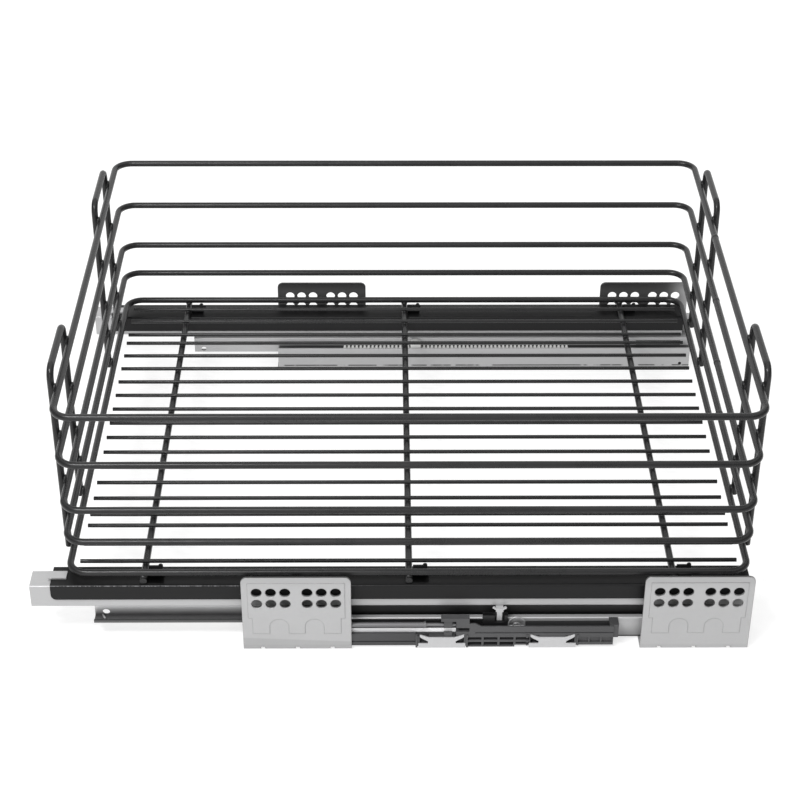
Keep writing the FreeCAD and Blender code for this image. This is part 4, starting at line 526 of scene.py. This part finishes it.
class BASKET_OT_welds(Operator):
    """Model the welds where the basket's wires cross, and the beads that close the rings"""

    bl_idname = "basket.welds"
    bl_label = "Weld the wires"
    upright_shape = (0.6, 1.05, 1.0)
    lying_shape = (1.0, 1.0, 0.55)
    growth = (0.9, 1.12)
    dents = (0.94, 1.06)
    bead_sides = 24

    def execute(self, context):
        sizes = context.scene.basket_wire
        dice = random.Random(sizes.seed)
        mesh = bmesh.new()
        self.weld_loops(mesh, dice, sizes)
        self.weld_floor(mesh, dice, sizes)
        for index, ring in enumerate(RINGS):
            self.bead(mesh, ring, sizes, sizes.butt_step * (index - len(RINGS) // 2))
        material = powder_coat("weld_coat", sizes.coat_colour, rough=0.34)
        piece("wire_welds", mesh, material, "basket")
        return {"FINISHED"}

    def weld_loops(self, mesh, dice, sizes):
        """Welds where the loops' legs cross the rings."""
        for loop in LOOPS:
            low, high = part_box(loop)
            radius = (high[0] - low[0]) / 2
            inward = low[0] if low[0] > 0 else high[0]
            for ring in RINGS:
                for y in (low[1] + radius, high[1] - radius):
                    self.nugget(mesh, dice, (inward, y, middle(ring).z), sizes.leg_weld, self.upright_shape)

    def weld_floor(self, mesh, dice, sizes):
        """Welds where the floor wires and the bottom ring lie on the cross wires."""
        floor_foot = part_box("floor_wires")[0][2]
        low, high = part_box("bottom_ring")
        radius = (high[2] - low[2]) / 2
        for wire in CROSS_WIRES:
            x = middle(wire).x
            for y in self.floor_rows(sizes):
                self.nugget(mesh, dice, (x, y, floor_foot), sizes.floor_weld, self.lying_shape)
            for y in (low[1] + radius, high[1] - radius):
                self.nugget(mesh, dice, (x, y, low[2]), sizes.leg_weld, self.lying_shape)

    def floor_rows(self, sizes):
        """Where the floor wires lie across the basket."""
        even = [sizes.floor_pitch * step for step in range(-sizes.floor_steps, sizes.floor_steps + 1)]
        return even + [way * place for place in sizes.floor_sides for way in SIDES.values()]

    def nugget(self, mesh, dice, spot, radius, shape):
        """A flattened, slightly uneven blob of metal."""
        centre = Vector(spot)
        grown = [radius * part * dice.uniform(*self.growth) for part in shape]
        place = Matrix.Translation(centre) @ Matrix.Diagonal((*grown, 1.0))
        made = bmesh.ops.create_icosphere(mesh, subdivisions=2, radius=1.0, matrix=place)
        for vertex in made["verts"]:
            vertex.co = centre + (vertex.co - centre) * dice.uniform(*self.dents)

    def bead(self, mesh, ring, sizes, shift):
        """The bead that closes a ring, on its back side."""
        low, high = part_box(ring)
        radius = (high[2] - low[2]) / 2
        rise = radius * sizes.butt_rise
        spot = Vector((high[0] - radius, shift, middle(ring).z))
        place = Matrix.Translation(spot) @ Matrix.Rotation(math.pi / 2, 4, "X")
        made = bmesh.ops.create_cone(mesh, cap_ends=True, segments=self.bead_sides, radius1=radius + rise,
                                     radius2=radius + rise, depth=sizes.butt_length, matrix=place)
        faces = {face for vertex in made["verts"] for face in vertex.link_faces}
        caps = [face for face in faces if len(face.verts) == self.bead_sides]
        soften(mesh, (edge for cap in caps for edge in cap.edges), rise)


# Slides

class BASKET_OT_rails(Operator):
    """Finish the cabinet, middle and drawer rails"""

    bl_idname = "basket.rails"
    bl_label = "Plate the rails"

    def execute(self, context):
        zinc_colour = context.scene.basket_slides.zinc_colour
        marked = {"drawer_rail": self.under_cover_shade, "middle_rail": self.middle_painted_light, "cabinet_rail": self.painted_shade}
        for kind, spots in marked.items():
            coat_sides(galvanised(f"{kind}_zinc", zinc_colour, rough=0.42, spots=spots), kind)
        return {"FINISHED"}

    def under_cover_shade(self, paint):
        """Painted shade: the drawer rail's top is painted black where the cover lies over it."""
        marks = bpy.context.scene.basket_rail_marks
        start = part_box("cover_near")[0][0] + marks.under_cover_shade_start
        top = paint.band(paint.z, marks.under_cover_shade_low, marks.under_cover_shade_high)
        return [(top * paint.above(paint.x, start), 0.01)]

    def middle_painted_light(self, paint):
        """Painted shade in the middle rail's track, deeper towards the back, a painted highlight on its
        upper web, and painted shade on its lip and box.
        """
        marks = bpy.context.scene.basket_rail_marks
        outer = paint.band(paint.aside, marks.web_side, marks.lip_side)
        track = outer * paint.above(paint.z, marks.track_floor)
        ledge = paint.below(paint.z, marks.ledge_top)
        # Painted shade over the web and the ledge, with a wandering upper edge, deeper towards the back.
        ripple = paint.noise(260, detail=3.0, roughness=0.6, place=paint.stretched(0.2, 1, 1))
        web_shade_edge = paint.z + ripple * marks.web_shade_ripple
        web_shade = (1.0 - web_shade_edge.between(marks.web_shade_full, marks.web_shade_end)) * (1.0 - ledge)
        behind = paint.x.between(marks.deep_shade_start, marks.deep_shade_end)
        deep_shade = behind * paint.below(paint.z, marks.deep_shade_top, marks.deep_shade_softness)
        # A painted highlight on the upper web, towards the front.
        bright = paint.z.between(marks.web_highlight_start, marks.web_highlight_full)
        web_highlight = outer * bright * paint.below(paint.x, marks.deep_shade_start, marks.web_highlight_softness)
        # Painted shade on the lip, darker again towards its top.
        lip = paint.above(paint.aside, marks.lip_side)
        rolled = lip * paint.z.between(marks.lip_bright, marks.lip_dark)
        # Painted shade inside the box, and a dark slot painted on its inner face.
        box = paint.below(paint.aside, marks.box_side)
        shaded = box * paint.below(paint.z, marks.shade_top)
        shaded = shaded * paint.above(paint.x, marks.shade_start, marks.shade_softness)
        slot = box * paint.band(paint.x, marks.slot_start, marks.slot_end)
        slot = slot * paint.band(paint.z, marks.shade_top, marks.slot_top)
        return [(track * web_shade, 0.12), (track * ledge, 0.24), (track * deep_shade, 0.25), (web_highlight, 1.6),
                (lip, 0.34), (rolled, 0.3), (shaded, 0.18), (slot, 0.05)]

    def painted_shade(self, paint):
        """Painted shadow along the cabinet rail's foot and in its inner wall's seam, painted shade in its
        channel and low on its outer wall, and a painted highlight on its rim.
        """
        marks = bpy.context.scene.basket_rail_marks
        wall = paint.above(paint.aside, marks.wall_side)
        # Painted shadow along the foot, painted shade low on the outer wall, and a painted highlight on its
        # rim.
        foot = wall * paint.below(paint.z, marks.foot_top, marks.foot_softness)
        dull = wall * (1.0 - paint.z.between(marks.darkest_height, marks.wall_shade_end))
        rim_highlight = wall * paint.above(paint.z, marks.rim_highlight_low)
        # Painted shade in the inner wall's seam, broken along the slide, and in the channel.
        breaks = paint.noise(90, detail=2.0, roughness=0.6, place=paint.stretched(1, 0.1, 0.1))
        seam = paint.below(paint.aside, marks.seam_side) * breaks.between(0.38, 0.50)
        seam = seam * paint.band(paint.z, marks.seam_low, marks.seam_high)
        channel = paint.band(paint.aside, marks.channel_inside, marks.channel_outside)
        channel = channel * paint.below(paint.z, marks.channel_top)
        return [(foot, 0.2), (seam, 0.2), (channel, 0.25), (dull, 0.5), (rim_highlight, 1.15)]


class BASKET_OT_stop_lugs(Operator):
    """Bend up the small stop at the front end of each middle rail's track"""

    bl_idname = "basket.stop_lugs"
    bl_label = "Add the stop lugs"

    def execute(self, context):
        lug = context.scene.basket_lugs
        zinc = galvanised("lug_zinc", context.scene.basket_slides.zinc_colour, rough=0.42)
        for side, way in SIDES.items():
            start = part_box(f"middle_rail_{side}")[0][0]
            place = Matrix.Translation((start + lug.inset, way * lug.aside, lug.height))
            turn = Matrix.Rotation(lug.turn * way, 4, "Z")
            scale = Matrix.Diagonal((lug.thickness, lug.width, lug.rise, 1.0))
            mesh = bmesh.new()
            bmesh.ops.create_cube(mesh, size=1.0, matrix=place @ turn @ scale)
            soften(mesh, mesh.edges, lug.softness)
            piece(f"stop_lug_{side}", mesh, zinc, f"middle_{side}")
        return {"FINISHED"}


class BASKET_OT_covers(Operator):
    """Coat the drawer rails' covers"""

    bl_idname = "basket.covers"
    bl_label = "Coat the covers"

    def execute(self, context):
        black = context.scene.basket_slides.cover_colour
        satin = powder_coat("cover_coat", black, rough=0.34, along=(0.12, 1, 1), shine=0.2, spots=self.cover_painted_light)
        coat_sides(satin, "cover")
        return {"FINISHED"}

    def cover_painted_light(self, paint):
        """Painted shade on a cover's flat top, and a speckled painted highlight along its outer bend,
        strongest towards the front.
        """
        marks = bpy.context.scene.basket_cover_marks
        # Painted shade on the flat top; a speckled painted highlight along the outer bend.
        flat = paint.band(paint.z, marks.top_low, marks.top_high)
        bend = paint.above(paint.aside, marks.bend_side) * paint.above(paint.z, marks.bend_low)
        painted_highlight = bend * paint.noise(700, detail=2.0, roughness=0.7).between(0.38, 0.66)
        front = 1.0 - paint.x.between(marks.painted_highlight_full, marks.painted_highlight_end)
        return [(flat, 0.55), (painted_highlight * front, 18.0), (painted_highlight, 1.6)]


class BASKET_OT_brackets(Operator):
    """Finish the brackets and their rivets"""

    bl_idname = "basket.brackets"
    bl_label = "Plate the brackets"

    def execute(self, context):
        finish = context.scene.basket_slides
        zinc = galvanised("bracket_zinc", finish.bracket_colour, rough=0.46, streak=(0.3, 1, 1),
                          spots=self.tones, rounding=finish.bracket_rounding)
        steel = bright_steel("rivet_steel", finish.steel_colour, rough=0.36, metal=0.6)
        coat_sides(zinc, "front_bracket", "back_bracket")
        coat_sides(steel, "rivets")
        return {"FINISHED"}

    def tones(self, paint):
        """A darker cut edge, a face darker towards its top, painted shade on a band, the foot and the inner
        face, and painted edge lines.
        """
        marks = bpy.context.scene.basket_bracket_marks
        cut = paint.above(paint.z, marks.cut_low)
        # Painted shade on a slanting band at the bend and on the foot.
        slant = paint.z + (paint.x - marks.band_start) * marks.band_slope
        band = paint.below(slant, marks.band_top, marks.band_softness)
        band = band * paint.below(paint.x, marks.band_end)
        foot = paint.below(paint.z, marks.foot_top)
        # The face is darker towards its top.
        high = paint.z.between(marks.darkening_start, marks.darkest_height)
        inner = paint.below(paint.aside, marks.inner_side, marks.inner_softness)
        inner = inner * paint.above(paint.z, marks.inner_low)
        shaded = inner * (1.0 - paint.x.between(marks.lit_start, marks.lit_full))
        # Painted shade along the embossed panel's edges outside, painted light along them inside.
        lines = paint.edges(marks.line_radius) * paint.below(paint.z, marks.line_top)
        return [(cut, 0.45), (band, 0.87), (foot, 0.95), (high, 0.9), (shaded, 0.28),
                (lines * (1.0 - inner), 0.55), (lines * inner, 2.2)]


class BASKET_OT_soft_close(Operator):
    """Finish the soft-close units, their dampers, catches and activators"""

    bl_idname = "basket.soft_close"
    bl_label = "Finish the soft-close units"

    def execute(self, context):
        finish = context.scene.basket_slides
        along = (0.05, 1, 1)
        edge = finish.clip_rounding
        moulding = finish.housing_rounding
        housing = moulded("housing_plastic", finish.housing_colour, rough=0.42, rounding=moulding)
        catch = moulded("catch_plastic", finish.catch_colour, rough=0.4)
        tray = moulded("tray_plastic", finish.tray_colour, rough=0.4)
        clips = bright_steel("clip_steel", finish.clip_colour, rough=0.42, metal=0.3, rounding=edge)
        strip = bright_steel("strip_steel", finish.steel_colour, rough=0.42, grain=along, metal=0.3)
        hook = bright_steel("hook_steel", finish.hook_colour, rough=0.36, metal=0.5, rounding=edge)
        spring = bright_steel("spring_steel", finish.steel_colour, rough=0.3)
        tube = bright_steel("damper_steel", finish.tube_colour, rough=0.34, grain=along, metal=0.5,
                            spots=self.shade_under_tube)
        coat_sides(housing, "soft_close_housing")
        coat_sides(catch, "catch", "spring_cover")
        coat_sides(tray, "damper_tray")
        coat_sides(clips, "unit_clips", "activator")
        coat_sides(strip, "guide_strip")
        coat_sides(hook, "catch_hook")
        coat_sides(spring, "closing_spring")
        coat_sides(tube, "damper_cylinder", "damper_rod")
        return {"FINISHED"}

    def shade_under_tube(self, paint):
        """Painted shade on the cylinder's underside."""
        finish = bpy.context.scene.basket_slides
        axis = middle("damper_cylinder_near").z
        # Painted shade on the cylinder's underside, below its axis.
        return [(1.0 - (paint.z - axis).between(finish.tube_shade_full, finish.tube_shade_end), 0.08)]


class BASKET_OT_rollers(Operator):
    """Finish the racks, roller cages and rollers"""

    bl_idname = "basket.rollers"
    bl_label = "Finish the rollers"

    def execute(self, context):
        finish = context.scene.basket_slides
        pale = moulded("cage_plastic", finish.pale_colour, rough=0.45, spread=1.08)
        steel = bright_steel("roller_steel", finish.steel_colour, rough=0.2)
        coat_sides(pale, "rack", "lower_cage", "upper_cage")
        coat_sides(steel, "lower_rollers", "upper_rollers")
        return {"FINISHED"}


# Stage

class BASKET_OT_stage(Operator):
    """Lay the floor, light the studio and place the camera"""

    bl_idname = "basket.stage"
    bl_label = "Set the studio"

    def execute(self, context):
        setup = context.scene.basket_stage
        self.lay_floor(setup)
        self.surround(setup)
        self.softbox("top_light", setup.top_power, spot=(0, 0, 2.2), target=(0, 0, 0.1), size=(4.0, 4.0))
        self.softbox("front_light", setup.front_power, spot=(-0.5, -2.2, 0.9), target=(0, 0, 0.08),
                     size=(1.6, 1.0))
        self.softbox("back_light", setup.back_power, spot=(0, 3.0, 1.2), target=(0, 0, 0.2),
                     size=(5.0, 2.2))
        self.softbox("strip_light", setup.strip_power, spot=(-0.55, -0.85, 1.35), target=(-0.1, -0.2, 0.05),
                     size=(0.6, 0.05))
        self.place_camera(setup)
        return {"FINISHED"}

    def lay_floor(self, setup):
        """A plain pale floor."""
        mesh = bmesh.new()
        bmesh.ops.create_grid(mesh, x_segments=1, y_segments=1, size=setup.floor_width / 2)
        paint = Paint("floor_paint")
        mottle = paint.noise(3.0, detail=3.0)
        tone = paint.mix(mottle, shade(setup.floor_colour, 0.99), setup.floor_colour)
        roughness = mottle * 0.05 + 0.7
        glow = {"Emission_Color": WHITE, "Emission_Strength": setup.floor_glow}
        floor = placed("floor", mesh, paint.finish(tone, roughness, **glow))

    def surround(self, setup):
        """A white surrounding light."""
        world = bpy.data.worlds.new("studio")
        world.use_nodes = True
        background = world.node_tree.nodes["Background"]
        background.inputs["Color"].default_value = WHITE
        background.inputs["Strength"].default_value = setup.world_strength
        bpy.context.scene.world = world

    def softbox(self, name, watts, spot, target, size):
        """A rectangular softbox that faces a point."""
        lamp = bpy.data.lights.new(name, "AREA")
        lamp.shape = "RECTANGLE"
        lamp.size, lamp.size_y = size
        lamp.energy = watts
        holder = bpy.data.objects.new(name, lamp)
        holder.location = spot
        holder.rotation_euler = (Vector(target) - Vector(spot)).to_track_quat("-Z", "Y").to_euler()
        bpy.context.scene.collection.objects.link(holder)

    def place_camera(self, setup):
        """The camera at the photograph's angle."""
        scene = bpy.context.scene
        lens = bpy.data.cameras.new("camera")
        lens.sensor_width = 36.0
        lens.lens = setup.lens
        lens.clip_start = 0.05
        lens.clip_end = 50.0
        camera = bpy.data.objects.new("camera", lens)
        turn = Matrix.Rotation(setup.camera_turn, 4, "Z")
        tilt = Matrix.Rotation(math.pi / 2 - setup.camera_drop, 4, "X")
        roll = Matrix.Rotation(setup.camera_roll, 4, "Z")
        camera.matrix_world = Matrix.Translation(setup.camera_place) @ turn @ tilt @ roll
        scene.collection.objects.link(camera)
        scene.camera = camera
        scene.view_settings.view_transform = "Standard"


class BASKET_PT_panel(Panel):
    """The steps that dress the basket"""

    bl_label = "Pull-out wire basket"
    bl_idname = "BASKET_PT_panel"
    bl_space_type = "VIEW_3D"
    bl_region_type = "UI"
    bl_category = "Basket"

    def draw(self, context):
        for step in STEPS:
            self.layout.operator(step.bl_idname)


STEPS = (
    BASKET_OT_stage,
    BASKET_OT_coat_wires,
    BASKET_OT_welds,
    BASKET_OT_rails,
    BASKET_OT_stop_lugs,
    BASKET_OT_covers,
    BASKET_OT_brackets,
    BASKET_OT_soft_close,
    BASKET_OT_rollers,
)
GROUPS = {
    "basket_wire": WireSizes,
    "basket_lugs": LugSizes,
    "basket_slides": SlideFinish,
    "basket_rail_marks": RailMarks,
    "basket_cover_marks": CoverMarks,
    "basket_bracket_marks": BracketMarks,
    "basket_stage": StageSetup,
}


def register():
    """Register the sizes, the steps and the panel."""
    for kind in (*GROUPS.values(), *STEPS, BASKET_PT_panel):
        bpy.utils.register_class(kind)
    for name, group in GROUPS.items():
        setattr(bpy.types.Scene, name, PointerProperty(type=group))


def unregister():
    """Take the panel, the steps and the sizes away again."""
    for name in GROUPS:
        delattr(bpy.types.Scene, name)
    for kind in reversed((*GROUPS.values(), *STEPS, BASKET_PT_panel)):
        bpy.utils.unregister_class(kind)


def main():
    """Dress the basket step by step."""
    register()
    for step in STEPS:
        group, action = step.bl_idname.split(".")
        getattr(getattr(bpy.ops, group), action)()


if __name__ == "__main__":
    main()
